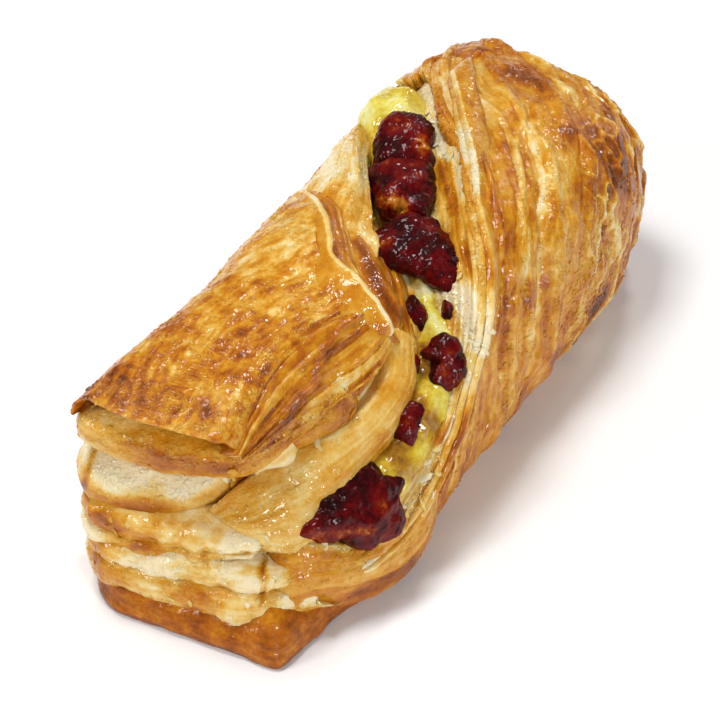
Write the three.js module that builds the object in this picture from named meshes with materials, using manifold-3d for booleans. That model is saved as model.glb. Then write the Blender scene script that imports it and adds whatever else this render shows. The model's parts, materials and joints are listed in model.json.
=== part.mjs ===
// A baked pastry twist with custard and cranberries, in millimetres, +Z up.
//
// The real thing is a strip of laminated dough, folded over a filling, twisted once about its
// long axis (X) and baked. At the left end the leaves of dough lie flat, one on another. Through
// the middle the open side of the fold turns up and shows custard and fruit in a valley. On the
// right half the edges of the leaves run over the top as slanting ribs.
import * as THREE from 'three';
import { mergeVertices } from 'three/addons/utils/BufferGeometryUtils.js';
import Module from 'manifold-3d';

const wasm = await Module();
wasm.setup();

// ---------------------------------------------------------------- driving dimensions
const GAP = 0.3; // kept between pieces that touch
const LEFT_X = -56; // where the loft of the body starts and ends, before its rounded right cap
const RIGHT_X = 58;
const CAP = 4; // how far the rounded right end stands out past RIGHT_X
const LEFT_SLANT = 10; // the front of the body's left end lies this much further in than its back
const AXIS_Y = 4; // the middle of the twist, which the free edges of the dough point to
const AXIS_Z = 19;
const BASE_THICKNESS = 4.5;
const RIB_HEIGHT = 1.4;
const RIB_SUNK = 2; // how deep a rib reaches into the body, so that it is one with it
const FIN_WEDGE = 2.1; // how much thicker a free edge is at its root than at its rim
const VALLEY_RADIUS = 7;
const CUSTARD_HALF_WIDTH = 4.8;
const CUSTARD_HALF_HEIGHT = 3.8;

// The body's outline at places along its length: how far the front and the back stand out at
// the table and at the top, the height, and how square the section is (2 is an ellipse).
const STATIONS = [
  { x: -56, front: [-7, -1], back: [18, 15], top: 37, square: 4.5 },
  { x: -50, front: [-8, -2], back: [21, 17], top: 37.5, square: 4.5 },
  { x: -35, front: [-10, -4], back: [24, 18.5], top: 38, square: 4 },
  { x: -20, front: [-14, -8], back: [26, 19.5], top: 38.5, square: 3.4 },
  { x: 0, front: [-19, -14.5], back: [27, 22], top: 38.5, square: 3 },
  { x: 20, front: [-17, -15], back: [27, 27], top: 37.5, square: 2.8 },
  { x: 35, front: [-16, -15], back: [27, 30], top: 36, square: 2.7 },
  { x: 48, front: [-13, -14], back: [26, 32], top: 34, square: 2.7 },
  { x: 58, front: [-8, -9], back: [22, 31], top: 32, square: 2.7 },
];

// ---------------------------------------------------------------- helpers
const lerp = THREE.MathUtils.lerp;
const degrees = THREE.MathUtils.degToRad;

// A smooth curve through (xs[i], ys[i]), level with its neighbours at each knot.
function keyed(xs, ys) {
  const slope = xs.map((_, i) => {
    const a = Math.max(i - 1, 0);
    const b = Math.min(i + 1, xs.length - 1);
    return (ys[b] - ys[a]) / (xs[b] - xs[a]);
  });
  return (x) => {
    const at = THREE.MathUtils.clamp(x, xs[0], xs[xs.length - 1]);
    let i = 0;
    while (i < xs.length - 2 && at > xs[i + 1]) i += 1;
    const h = xs[i + 1] - xs[i];
    const t = (at - xs[i]) / h;
    return (
      (2 * t ** 3 - 3 * t ** 2 + 1) * ys[i] +
      (t ** 3 - 2 * t ** 2 + t) * h * slope[i] +
      (-2 * t ** 3 + 3 * t ** 2) * ys[i + 1] +
      (t ** 3 - t ** 2) * h * slope[i + 1]
    );
  };
}

// Unevenness without chance: three waves that never quite repeat, from -1 to 1.
const wave = (t, phase) =>
  (Math.sin(t + phase) + Math.sin(2.3 * t + 1.7 * phase) + Math.sin(5.1 * t + 0.4 * phase)) / 3;

// Moves every vertex of a closed three.js shape by a rule, and returns it as a solid.
function warp(geometry, rule) {
  const bare = geometry.clone();
  bare.deleteAttribute('normal');
  bare.deleteAttribute('uv');
  const merged = mergeVertices(bare, 1e-4);
  const position = merged.getAttribute('position');
  const p = new THREE.Vector3();
  for (let i = 0; i < position.count; i += 1) {
    rule(p.fromBufferAttribute(position, i));
    position.setXYZ(i, p.x, p.y, p.z);
  }
  return solidOf(merged);
}

function solidOf(merged) {
  const triVerts = new Uint32Array(merged.index.array);
  const vertProperties = new Float32Array(merged.getAttribute('position').array);
  const made = new wasm.Manifold(new wasm.Mesh({ numProp: 3, vertProperties, triVerts }));
  if (made.volume() >= 0) return made;
  // The rule turned the shape inside out, so each triangle is turned round.
  for (let i = 0; i < triVerts.length; i += 3) {
    [triVerts[i + 1], triVerts[i + 2]] = [triVerts[i + 2], triVerts[i + 1]];
  }
  return new wasm.Manifold(new wasm.Mesh({ numProp: 3, vertProperties, triVerts }));
}

function geometryOf(solid) {
  const mesh = solid.getMesh();
  const points = new Float32Array(mesh.numVert * 3);
  for (let i = 0; i < mesh.numVert; i += 1) {
    points.set(mesh.vertProperties.subarray(i * mesh.numProp, i * mesh.numProp + 3), i * 3);
  }
  const geometry = new THREE.BufferGeometry();
  geometry.setAttribute('position', new THREE.BufferAttribute(points, 3));
  geometry.setIndex(new THREE.BufferAttribute(new Uint32Array(mesh.triVerts), 1));
  return geometry;
}

// ---------------------------------------------------------------- the body
const stationX = STATIONS.map((s) => s.x);
const section = {
  frontBase: keyed(stationX, STATIONS.map((s) => s.front[0])),
  frontTop: keyed(stationX, STATIONS.map((s) => s.front[1])),
  backBase: keyed(stationX, STATIONS.map((s) => s.back[0])),
  backTop: keyed(stationX, STATIONS.map((s) => s.back[1])),
  top: keyed(stationX, STATIONS.map((s) => s.top)),
  square: keyed(stationX, STATIONS.map((s) => s.square)),
};

// A point of the body's skin. The angle is 0 at the back, 90 degrees on top and 180 in front.
// inward, from 0 to 1, slides it towards the middle of the section.
function skin(x, angle, inward = 0, target = new THREE.Vector3()) {
  const past = THREE.MathUtils.clamp((x - RIGHT_X) / CAP, 0, 1);
  const grown = Math.sqrt(1 - past * past) ** 0.8 * (1 - inward);
  const power = 2 / section.square(x);
  const along = Math.sign(Math.cos(angle)) * Math.abs(Math.cos(angle)) ** power;
  const up = Math.sign(Math.sin(angle)) * Math.abs(Math.sin(angle)) ** power;
  const top = section.top(x);
  const z = Math.max(top * (0.46 + 0.54 * up * grown), 1);
  const share = THREE.MathUtils.clamp(z / top, 0, 1);
  const front = lerp(section.frontBase(x), section.frontTop(x), share);
  const back = lerp(section.backBase(x), section.backTop(x), share);
  return target.set(x, (front + back) / 2 + ((back - front) / 2) * along * grown, z);
}

// The outward direction of the skin, from its two tangents.
function skinNormal(x, angle) {
  const step = 0.02;
  const alongX = skin(x + 0.5, angle).sub(skin(x - 0.5, angle));
  const round = skin(x, angle + step).sub(skin(x, angle - step));
  return alongX.cross(round).normalize().negate();
}

function bodySolid() {
  const capShare = 0.2; // the share of the rings that round off the right end
  return warp(new THREE.CylinderGeometry(1, 1, 1, 24, 14), (p) => {
    const share = 0.5 - p.y;
    const straight = Math.min(1, share / (1 - capShare));
    const bent = Math.max(0, (share - 1 + capShare) / capShare) * (Math.PI / 2);
    const x = lerp(LEFT_X, RIGHT_X, straight) + Math.sin(bent) * (CAP - 0.05);
    const radius = Math.hypot(p.x, p.z);
    skin(x, Math.atan2(p.x, p.z), 1 - radius, p);
    const towardsFront = THREE.MathUtils.clamp((18 - p.y) / 24, 0, 1);
    p.x += LEFT_SLANT * towardsFront * (1 - straight) ** 2;
  });
}

// ---------------------------------------------------------------- the left end's leaves
// Each leaf is a slab that runs in from the left end. Its numbers are read at the front and back
// corners of its end, and along its front edge at EDGE_X: how far forward the edge stands and
// how high the middle of the slab lies there. Its inner end sinks into the body.
const EDGE_X = [-56, -44, -32, -18];
const LEAVES = [
  {
    end: [-52.5, -58.6], edgeY: [-10, -9, -8.5, -9.5], back: [16, 21], inner: [-20, -1],
    edgeZ: [36.6, 37.4, 37.6, 36.4], backZ: 38.2, thick: 3, bow: 1.4, sunk: 0.6,
  },
  {
    end: [-51.5, -58.3], edgeY: [-7, -9.5, -11, -12], back: [15.5, 19], inner: [-12, -12],
    edgeZ: [32.6, 33, 33.4, 33.8], backZ: 34.2, thick: 2.6, bow: 0, sunk: 3,
  },
  {
    end: [-48.5, -59.2], edgeY: [-2, -6, -12.5, -14], back: [14.5, 20], inner: [-12, -12],
    edgeZ: [21.5, 24.5, 28.8, 31.4], backZ: 24, thick: 4.4, bow: 0.6, sunk: 3,
  },
  {
    end: [-48.5, -60.2], edgeY: [-9, -11, -12, -12.5], back: [15, 21], inner: [-24, -24],
    edgeZ: [15.6, 15.2, 14.4, 13], backZ: 17, thick: 5.4, bow: 0, sunk: 3,
  },
  {
    end: [-52.7, -61.2], edgeY: [-14.5, -20, -23, -20.5], back: [14, 21.5], inner: [-13, -13],
    edgeZ: [8.6, 8.5, 8, 9], backZ: 9, thick: 5.4, bow: 0, sunk: 3,
  },
];

function leafSolid(leaf) {
  const edgeY = keyed(EDGE_X, leaf.edgeY);
  const edgeZ = keyed(EDGE_X, leaf.edgeZ);
  const corner = 0.16; // the share of the width in which the front corner rounds off
  return warp(new THREE.BoxGeometry(1, 1, 1, 7, 5, 2), (p) => {
    const along = p.x + 0.5;
    const across = p.y + 0.5;
    const faceness = (2 * p.z) ** 2; // 0 in the middle of the thickness, 1 at its faces
    const frontRound = Math.max(0, 1 - across / corner) ** 2;
    const backRound = Math.max(0, (across - 1 + corner) / corner) ** 2;
    const endX = lerp(leaf.end[0], leaf.end[1], across) + 2 * frontRound + 4 * backRound;
    const innerX = lerp(leaf.inner[0], leaf.inner[1], across);
    const x = lerp(endX + faceness, innerX, along ** 1.3);
    const ripple = 0.5 * wave(0.35 * x, leaf.thick);
    const front = edgeY(x) + faceness + ripple;
    const back = lerp(leaf.back[0], leaf.back[1], along ** 0.6);
    const y = lerp(front, back, across);
    const lie = lerp(edgeZ(x), leaf.backZ, across ** 0.7) + leaf.bow * Math.sin(Math.PI * across);
    const thick = leaf.thick * (1 - 0.4 * along ** 3);
    p.set(x, y, lie - leaf.sunk * along ** 4 + p.z * thick + 0.3 * wave(0.4 * y, x / 20));
  });
}

// ---------------------------------------------------------------- the slanting ribs
// The leaf edges of the right half climb the front wall and sweep away along the top, so that
// one edge is where x = lamination coordinate + swept(angle).
function swept(angle) {
  const past = 180 - THREE.MathUtils.radToDeg(angle);
  return past > 0 ? 0.16 * past + 0.0018 * past * past : 0.25 * past;
}

// Ribs of one family lie side by side from first to last, between two angles on the skin.
const RIB_FAMILIES = [
  { first: 3, last: 47, count: 8, low: 205, high: 60, height: RIB_HEIGHT },
  { first: -74, last: -36, count: 5, low: 48, high: -14, height: RIB_HEIGHT * 0.7 },
];

function ribSolid(family, index) {
  const spacing = (family.last - family.first) / (family.count - 1);
  const start = family.first + spacing * index + 0.8 * wave(index * 2.1, 1);
  const width = spacing * (0.94 + 0.12 * wave(index * 1.3, 4));
  const height = family.height * (1 + 0.35 * wave(index * 1.9, 2));
  const low = degrees(family.low);
  let high = degrees(family.high);
  const room = (angle) => RIGHT_X - start - width - swept(angle);
  while (room(high) < 0 && high < low) high += degrees(2);
  return warp(new THREE.BoxGeometry(1, 1, 1, 8, 2, 1), (p) => {
    const along = p.x + 0.5;
    const across = p.y + 0.5;
    const angle = lerp(low, high, along);
    const x = start + across * width + swept(angle) + 0.5 * wave(angle * 4, index);
    const crest = Math.sin(Math.PI * (0.12 + across * 0.88)) ** 0.6;
    const fade = Math.min(1, along * 6, (1 - along) * 5);
    const lift = p.z > 0 ? height * crest * fade : -RIB_SUNK;
    p.copy(skin(x, angle)).addScaledVector(skinNormal(x, angle), lift);
    p.z = Math.max(p.z, 1);
  });
}

// ---------------------------------------------------------------- the base
// The underside baked flat on the tray: a slab a little wider than the body above it, with a
// sharp front corner at the left end.
const BASE_FRONT = keyed(
  [-56, -45, -32, -20, -5, 15, 35, 50, 58],
  [-18, -19, -21, -22.3, -19, -17, -15, -11, -4],
);
const BASE_BACK = keyed([-58, -45, -20, 10, 40, 58], [14, 21, 25, 26, 25, 17]);

function baseSolid() {
  const end = [-55, -59];
  return warp(new THREE.BoxGeometry(1, 1, 1, 13, 1, 2), (p) => {
    const across = p.y + 0.5;
    const level = p.z + 0.5;
    const inset = 0.9 * (2 * level - 1) ** 2 + 0.4 * level;
    const x = lerp(lerp(end[0], end[1], across) + inset, 58.5 - inset, p.x + 0.5);
    const y = lerp(BASE_FRONT(x) + inset, BASE_BACK(x) - inset, across);
    p.set(x, y, level * BASE_THICKNESS);
  });
}

// ---------------------------------------------------------------- free edges and the cuff
// A fin is a free edge of dough that stands up beside the valley. Its rim follows a curve, and
// from there it reaches in towards the middle of the twist.
const curveOf = (points) =>
  new THREE.CatmullRomCurve3(points.map(([x, y, z]) => new THREE.Vector3(x, y, z)));

const RIGHT_LIP = curveOf([
  [-38, -20, 8.5], [-29, -21.6, 9.5], [-20.3, -22.6, 14.5], [-10, -20.8, 22], [-0.1, -17, 30.5],
  [7, -10.5, 35.8], [17, -1, 38.2], [29, 9, 37.8], [41, 18.5, 36],
]);
const LEFT_LIP = curveOf([
  [-34, -12, 29.5], [-21, -14, 31.5], [-14.5, -11.5, 35.5], [-11, -5, 38.4], [-4, 5, 39],
  [6, 11.5, 39], [18, 18, 38.2], [28, 23.5, 35.5],
]);

function finSolid(rim, thick, depth) {
  return warp(new THREE.BoxGeometry(1, 1, 1, 13, 1, 2), (p) => {
    const along = p.x + 0.5;
    const inward = p.y + 0.5;
    const point = rim.getPoint(along);
    const toAxis = new THREE.Vector3(point.x, AXIS_Y, AXIS_Z).sub(point).normalize();
    const across = new THREE.Vector3().crossVectors(rim.getTangent(along), toAxis).normalize();
    const fade = Math.min(1, 5 * along, 5 * (1 - along));
    const reach = depth * inward + 2.5 * (1 - fade) + 0.4 * wave(along * 14, depth);
    const side = p.z * thick * (0.4 + 0.6 * fade) * (0.5 + FIN_WEDGE * inward);
    p.copy(point).addScaledVector(toAxis, reach).addScaledVector(across, side);
  });
}

// Where the top leaf enters the twist it folds up into a rounded ridge that crosses the top.
const CUFF = curveOf([
  [-2, 21, 35], [-1, 16.5, 38], [-7, 6, 39], [-12.5, -2, 38.4], [-17, -8.5, 36.5], [-22, -11, 34.5],
]);

function cuffSolid() {
  const halfWidth = 3;
  const halfHeight = 2;
  return warp(new THREE.CylinderGeometry(1, 1, 1, 7, 12), (p) => {
    const share = 0.5 - p.y;
    const taper = Math.min(1, 0.4 + Math.sin(share * Math.PI));
    const outward = new THREE.Vector3(0, 0.9 - 1.8 * share, 1).normalize();
    const across = new THREE.Vector3().crossVectors(CUFF.getTangent(share), outward).normalize();
    const { x: side, z: out } = p.clone();
    p.copy(CUFF.getPoint(share))
      .addScaledVector(across, side * halfWidth * taper)
      .addScaledVector(outward, out * halfHeight * taper);
  });
}

// ---------------------------------------------------------------- valley and custard
// The line along the top of the custard, from the big fruit in front to the back of the top.
const VALLEY = curveOf([
  [-43, -9, 15.5], [-37, -14, 16], [-30, -16, 17], [-22.5, -16.5, 19.5], [-15, -16, 22.5],
  [-8, -13.5, 25], [-2, -10, 27], [3.5, -5, 29], [10, 2, 30.5], [18.5, 9.7, 31.5],
  [27.7, 17, 32], [35.5, 23, 31], [41, 27, 27],
]);

// A tube along the valley from one share of its length to another, lifted off its line.
function strand({ from, to, halfWidth, halfHeight, lift }) {
  return warp(new THREE.CylinderGeometry(1, 1, 1, 8, 15), (p) => {
    const share = 0.5 - p.y;
    const t = lerp(from, to, share);
    const outward = valleyOutward(t);
    const across = new THREE.Vector3().crossVectors(VALLEY.getTangent(t), outward).normalize();
    const taper = Math.min(1, 0.45 + 2.2 * Math.min(share, 1 - share) + 0.12 * wave(share * 9, 3));
    const { x: side, z: out } = p.clone();
    p.copy(VALLEY.getPoint(t))
      .addScaledVector(outward, lift + out * halfHeight * taper)
      .addScaledVector(across, side * halfWidth * taper);
  });
}

// The way the valley opens: forwards low on the front wall, upwards over the top.
function valleyOutward(t) {
  const turn = THREE.MathUtils.smoothstep(t, 0.15, 0.62);
  const over = THREE.MathUtils.smoothstep(t, 0.75, 1);
  return new THREE.Vector3(0, lerp(-0.85, 0, turn) + 0.6 * over, lerp(0.55, 1, turn)).normalize();
}

// ---------------------------------------------------------------- cranberries
// Each fruit: its middle, its half sizes, the way its length runs, and the way its flat side faces.
const FRUITS = [
  { at: [25, 14, 34.2], half: [4.2, 3.9, 3.4], long: [0.8, 0.55, 0], face: [-0.2, 0, 1] },
  { at: [16, 8.6, 33.4], half: [4.7, 4.6, 3.6], long: [0.5, -0.8, 0.1], face: [0, 0, 1] },
  { at: [6.3, -1.8, 31.8], half: [8.3, 4, 3.4], long: [0.25, -0.95, -0.15], face: [-0.2, 0, 1] },
  { at: [-1.2, -7, 29.6], half: [2.4, 1.9, 2], long: [0.8, 0.4, 0.3], face: [-0.5, -0.4, 0.8] },
  { at: [1.6, -12.2, 28.4], half: [2.4, 1.8, 2], long: [0.8, 0.4, 0.3], face: [-0.5, -0.4, 0.8] },
  { at: [-8.4, -15, 26.4], half: [4.7, 3.2, 3], long: [0.55, 0.3, 0.75], face: [-0.3, -0.8, 0.5] },
  { at: [-13.6, -11.6, 27.6], half: [3, 1.6, 1.8], long: [0.5, 0.3, 0.8], face: [-0.4, -0.7, 0.5] },
  { at: [-21, -16.4, 21.2], half: [4, 2.9, 2.6], long: [0.6, 0.3, 0.6], face: [-0.3, -0.8, 0.6] },
  { at: [-35.8, -16.2, 17], half: [8.8, 6.2, 4.4], long: [0.62, -0.76, -0.1], face: [-0.35, -0.45, 0.8] },
];

function fruitSolid(fruit, index, grow = 0) {
  const long = new THREE.Vector3(...fruit.long).normalize();
  const across = new THREE.Vector3(...fruit.face).cross(long).normalize();
  const face = new THREE.Vector3().crossVectors(long, across);
  const detail = fruit.half[0] > 3.5 ? 2 : 1;
  return warp(new THREE.IcosahedronGeometry(1, detail), (p) => {
    // A dried fruit is wrinkled: its radius rises and falls along and round it.
    const lump = 1 + 0.09 * wave(4 * p.x + 3 * p.y, index) + 0.07 * wave(5 * p.z - 3 * p.x, index + 2);
    const { x, y, z } = p.clone().multiplyScalar(lump);
    p.set(...fruit.at)
      .addScaledVector(long, x * (fruit.half[0] + grow))
      .addScaledVector(across, y * (fruit.half[1] + grow))
      .addScaledVector(face, z * (fruit.half[2] + grow));
  });
}

// ---------------------------------------------------------------- joining and cutting
const trench = strand({
  from: 0.04,
  to: 0.99,
  halfWidth: VALLEY_RADIUS,
  halfHeight: VALLEY_RADIUS,
  lift: VALLEY_RADIUS - 0.8,
});
const custardStrand = (grow) =>
  strand({
    from: 0.02,
    to: 0.98,
    halfWidth: CUSTARD_HALF_WIDTH + grow,
    halfHeight: CUSTARD_HALF_HEIGHT + grow,
    lift: -1.6,
  });

let pastry = bodySolid();
for (const family of RIB_FAMILIES) {
  for (let i = 0; i < family.count; i += 1) pastry = pastry.add(ribSolid(family, i));
}
for (const leaf of LEAVES) pastry = pastry.add(leafSolid(leaf));
pastry = pastry.subtract(trench);
pastry = pastry.add(baseSolid());
pastry = pastry.add(finSolid(RIGHT_LIP, 3, 9));
pastry = pastry.add(finSolid(LEFT_LIP, 2.6, 7));
pastry = pastry.add(cuffSolid());
pastry = pastry.subtract(custardStrand(GAP));

let custard = custardStrand(0);
const fruits = FRUITS.map((fruit, i) => fruitSolid(fruit, i));
FRUITS.forEach((fruit, i) => {
  const hollow = fruitSolid(fruit, i, GAP);
  pastry = pastry.subtract(hollow);
  custard = custard.subtract(hollow);
});

// ---------------------------------------------------------------- the model
const biggest = (solid) =>
  solid.decompose().reduce((a, b) => (b.volume() > a.volume() ? b : a));

const crust = new THREE.MeshStandardMaterial({ color: 0xd9962f, roughness: 0.45, metalness: 0 });
const cream = new THREE.MeshStandardMaterial({ color: 0xe3cf3c, roughness: 0.3, metalness: 0 });
const fruitRed = new THREE.MeshStandardMaterial({ color: 0x6b0f14, roughness: 0.3, metalness: 0 });

const model = new THREE.Group();

function place(name, solid, material) {
  const mesh = new THREE.Mesh(geometryOf(solid), material);
  mesh.name = name;
  model.add(mesh);
}

place('pastry', biggest(pastry), crust);
place('custard', biggest(custard), cream);
fruits.forEach((fruit, i) => place(`cranberry_${i + 1}`, fruit, fruitRed));

// The origin lies under the middle of the whole, on the table.
const middle = new THREE.Box3().setFromObject(model).getCenter(new THREE.Vector3());
for (const mesh of model.children) mesh.position.set(-middle.x, -middle.y, 0);

export default model;
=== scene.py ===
# %% [markdown]
# # A cranberry pastry twist
# This script dresses a plain solid model of a baked pastry in its real looks. The real thing is
# a strip of laminated dough, many thin leaves with butter between them, folded over custard and
# dried cranberries and twisted once. Baking lifts the leaves apart, browns what sticks out and
# leaves what is sheltered pale, and a sugar glaze makes it shine. The model is in the frame's
# own place and size, and everything here is worked out in millimetres around it.

# %% Load the frame
import json
import math

import bpy
import numpy as np
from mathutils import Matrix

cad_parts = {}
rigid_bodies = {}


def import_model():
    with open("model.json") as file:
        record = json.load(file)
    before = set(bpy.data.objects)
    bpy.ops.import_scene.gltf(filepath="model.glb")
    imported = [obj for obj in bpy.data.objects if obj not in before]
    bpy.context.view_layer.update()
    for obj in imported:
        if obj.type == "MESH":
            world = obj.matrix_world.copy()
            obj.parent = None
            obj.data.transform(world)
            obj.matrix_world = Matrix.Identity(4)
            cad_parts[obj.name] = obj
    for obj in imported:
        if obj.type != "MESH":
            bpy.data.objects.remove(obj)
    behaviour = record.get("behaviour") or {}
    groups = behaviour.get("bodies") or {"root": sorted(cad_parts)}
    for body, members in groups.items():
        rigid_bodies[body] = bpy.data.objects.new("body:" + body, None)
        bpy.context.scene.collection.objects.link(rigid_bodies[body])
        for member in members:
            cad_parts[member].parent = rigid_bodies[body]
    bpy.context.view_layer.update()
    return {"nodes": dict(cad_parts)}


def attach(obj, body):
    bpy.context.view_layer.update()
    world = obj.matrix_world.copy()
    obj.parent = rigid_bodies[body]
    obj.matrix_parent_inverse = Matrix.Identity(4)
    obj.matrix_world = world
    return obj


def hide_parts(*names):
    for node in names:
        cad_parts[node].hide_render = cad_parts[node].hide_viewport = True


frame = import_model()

MM = 0.001
MIDDLE = np.array((1.225, 3.32, 0.0))  # the part's origin, in the working coordinates below
print("frame nodes:", len(frame["nodes"]))

# %% [markdown]
# ## Camera, floor and light
# The picture looks down on the twist at forty degrees, from the left and the front, with a long
# lens, on a white floor. The main light is overhead, and small ones from the left, the front, the
# back, the right and beside the camera each make a part of the glaze sparkle. The surroundings
# are dim, because a bright sky would lie as a pale haze on every glossy place.

# %% Camera
AZIMUTH, ELEVATION = math.radians(-55.0), math.radians(40.0)
AIM = np.array((-7.0, 0.5, 19.0))
DISTANCE = 700.0
PIXELS_PER_MM = 6.45
FRAME_PIXELS = 720
SENSOR = 36.0
towards_camera = np.array((
    math.sin(AZIMUTH) * math.cos(ELEVATION),
    -math.cos(AZIMUTH) * math.cos(ELEVATION),
    math.sin(ELEVATION),
))
camera_data = bpy.data.cameras.new("camera")
camera_data.sensor_width = SENSOR
camera_data.lens = PIXELS_PER_MM * DISTANCE * SENSOR / FRAME_PIXELS
camera = bpy.data.objects.new("camera", camera_data)
bpy.context.scene.collection.objects.link(camera)
camera.location = (AIM + DISTANCE * towards_camera - MIDDLE) * MM
camera.rotation_euler = (math.pi / 2 - ELEVATION, 0.0, AZIMUTH)
bpy.context.scene.camera = camera
print("lens:", round(camera_data.lens, 1), "mm")


# %% Floor
def flat_material(name, colour, roughness):
    material = bpy.data.materials.new(name)
    material.use_nodes = True
    shader = material.node_tree.nodes["Principled BSDF"]
    shader.inputs["Base Color"].default_value = (*colour, 1.0)
    shader.inputs["Roughness"].default_value = roughness
    return material


FLOOR_HALF = 2.0
floor_mesh = bpy.data.meshes.new("floor")
floor_mesh.from_pydata(
    [(x * FLOOR_HALF, y * FLOOR_HALF, 0.0) for x, y in ((-1, -1), (1, -1), (1, 1), (-1, 1))],
    [], [(0, 1, 2, 3)],
)
floor_mesh.materials.append(flat_material("floor", (0.97, 0.97, 0.97), 0.8))
floor = bpy.data.objects.new("floor", floor_mesh)
bpy.context.scene.collection.objects.link(floor)


# %% Lights
def soft_light(name, place, size, watts):
    data = bpy.data.lights.new(name, "AREA")
    data.size = size
    data.energy = watts
    light = bpy.data.objects.new(name, data)
    light.location = place
    back = -np.array(place) / np.linalg.norm(place)
    light.rotation_euler = (
        math.atan2(math.hypot(back[0], back[1]), -back[2]), 0.0,
        math.atan2(-back[0], back[1]),
    )
    bpy.context.scene.collection.objects.link(light)


soft_light("overhead", (-0.1, 0.2, 0.86), 0.26, 4.4)
soft_light("left", (-0.6, 0.4, 0.5), 0.2, 2.2)
soft_light("front", (-0.35, -0.85, 0.36), 0.2, 3.7)
soft_light("behind", (0.52, 0.16, 0.76), 0.13, 1.7)
soft_light("right", (0.86, 0.06, 0.42), 0.1, 0.8)
soft_light("glitter", (-0.62, -0.62, 0.72), 0.07, 0.7)
world = bpy.data.worlds.new("world")
world.use_nodes = True
world.node_tree.nodes["Background"].inputs["Color"].default_value = (1.0, 1.0, 1.0, 1.0)
world.node_tree.nodes["Background"].inputs["Strength"].default_value = 0.14
bpy.context.scene.world = world
bpy.context.scene.view_settings.view_transform = "Standard"
print("lights:", len(bpy.data.lights))

# %% [markdown]
# ## Tools for dough
# Dough is never regular, so every shape here is a rule plus unevenness. The unevenness is noise:
# numbers that look random and change smoothly from place to place. It is worked out with arrays,
# so that a hundred thousand points take a moment, and each use has its own fixed seed.


# %% Noise and curves
def scrambled(i, j, k, seed):
    """A fixed random number from -1 to 1 for each cell of a lattice."""
    h = i.astype(np.uint32) * np.uint32(0x8DA6B343)
    h ^= j.astype(np.uint32) * np.uint32(0xD8163841)
    h ^= k.astype(np.uint32) * np.uint32(0xCB1AB31F)
    h ^= np.uint32((seed * 0x9E3779B1 + 0x7F4A7C15) & 0xFFFFFFFF)
    h ^= h >> np.uint32(15)
    h *= np.uint32(0x2C1B3C6D)
    h ^= h >> np.uint32(12)
    h *= np.uint32(0x297A2D39)
    h ^= h >> np.uint32(15)
    return h.astype(np.float64) / 2147483648.0 - 1.0


def noise(p, seed=0):
    """Smooth noise from -1 to 1 at points p, whose last axis is x, y, z in cells."""
    cell = np.floor(p).astype(np.int64)
    f = p - cell
    f = f * f * f * (f * (f * 6.0 - 15.0) + 10.0)
    i, j, k = cell[..., 0], cell[..., 1], cell[..., 2]
    total = 0.0
    for di in (0, 1):
        wi = f[..., 0] if di else 1.0 - f[..., 0]
        for dj in (0, 1):
            wj = f[..., 1] if dj else 1.0 - f[..., 1]
            for dk in (0, 1):
                wk = f[..., 2] if dk else 1.0 - f[..., 2]
                total = total + wi * wj * wk * scrambled(i + di, j + dj, k + dk, seed)
    return total


def noise_of(a, b, c=0.0, seed=0):
    a, b, c = np.broadcast_arrays(np.asarray(a, float), b, c)
    return noise(np.stack([a, b, c], -1), seed)


def rough(p, octaves=4, seed=0):
    """Noise with finer and finer detail on top, from about -1 to 1."""
    total, share = 0.0, 1.0
    for octave in range(octaves):
        total = total + share * noise(p * 2.03 ** octave + 7.3 * octave, seed + octave)
        share *= 0.5
    return total / 1.6


# %% Smooth curves and small sums
def through(knots, values):
    """A smooth curve through values at knots, as a function of the knot coordinate."""
    knots, values = np.asarray(knots, float), np.asarray(values, float)
    lo = np.maximum(np.arange(len(knots)) - 1, 0)
    hi = np.minimum(np.arange(len(knots)) + 1, len(knots) - 1)
    width = (knots[hi] - knots[lo]).reshape(-1, *[1] * (values.ndim - 1))
    slope = (values[hi] - values[lo]) / width

    def at(t):
        t = np.clip(np.asarray(t, float), knots[0], knots[-1])
        i = np.clip(np.searchsorted(knots, t, side="right") - 1, 0, len(knots) - 2)
        h = knots[i + 1] - knots[i]
        u = (t - knots[i]) / h
        if values.ndim > 1:
            h, u = h[..., None], u[..., None]
        return (
            (2 * u**3 - 3 * u**2 + 1) * values[i] + (u**3 - 2 * u**2 + u) * h * slope[i]
            + (3 * u**2 - 2 * u**3) * values[i + 1] + (u**3 - u**2) * h * slope[i + 1]
        )

    return at


def spline(points):
    """A smooth curve through points in space, as a function of the share of its length."""
    points = np.asarray(points, float)
    chord = np.r_[0.0, np.cumsum(np.linalg.norm(np.diff(points, axis=0), axis=1))]
    return through(chord / chord[-1], points)


def smoothstep(a, b, x):
    t = np.clip((x - a) / (b - a), 0.0, 1.0)
    return t * t * (3.0 - 2.0 * t)


def unit(v):
    return v / np.maximum(np.linalg.norm(v, axis=-1, keepdims=True), 1e-9)


def lerp(a, b, t):
    return a + (b - a) * t


print("noise spans", round(float(noise(np.random.default_rng(1).random((999, 3)) * 50).std()), 2))


# %% Meshes from arrays
def grid_quads(rows, columns, loop_columns=False, start=0):
    """The faces of a grid of points that are numbered row by row."""
    index = np.arange(rows * columns).reshape(rows, columns) + start
    if loop_columns:
        index = np.concatenate([index, index[:, :1]], axis=1)
    a, b, c, d = index[:-1, :-1], index[1:, :-1], index[1:, 1:], index[:-1, 1:]
    return np.stack([a, b, c, d], -1).reshape(-1, 4)


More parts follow.
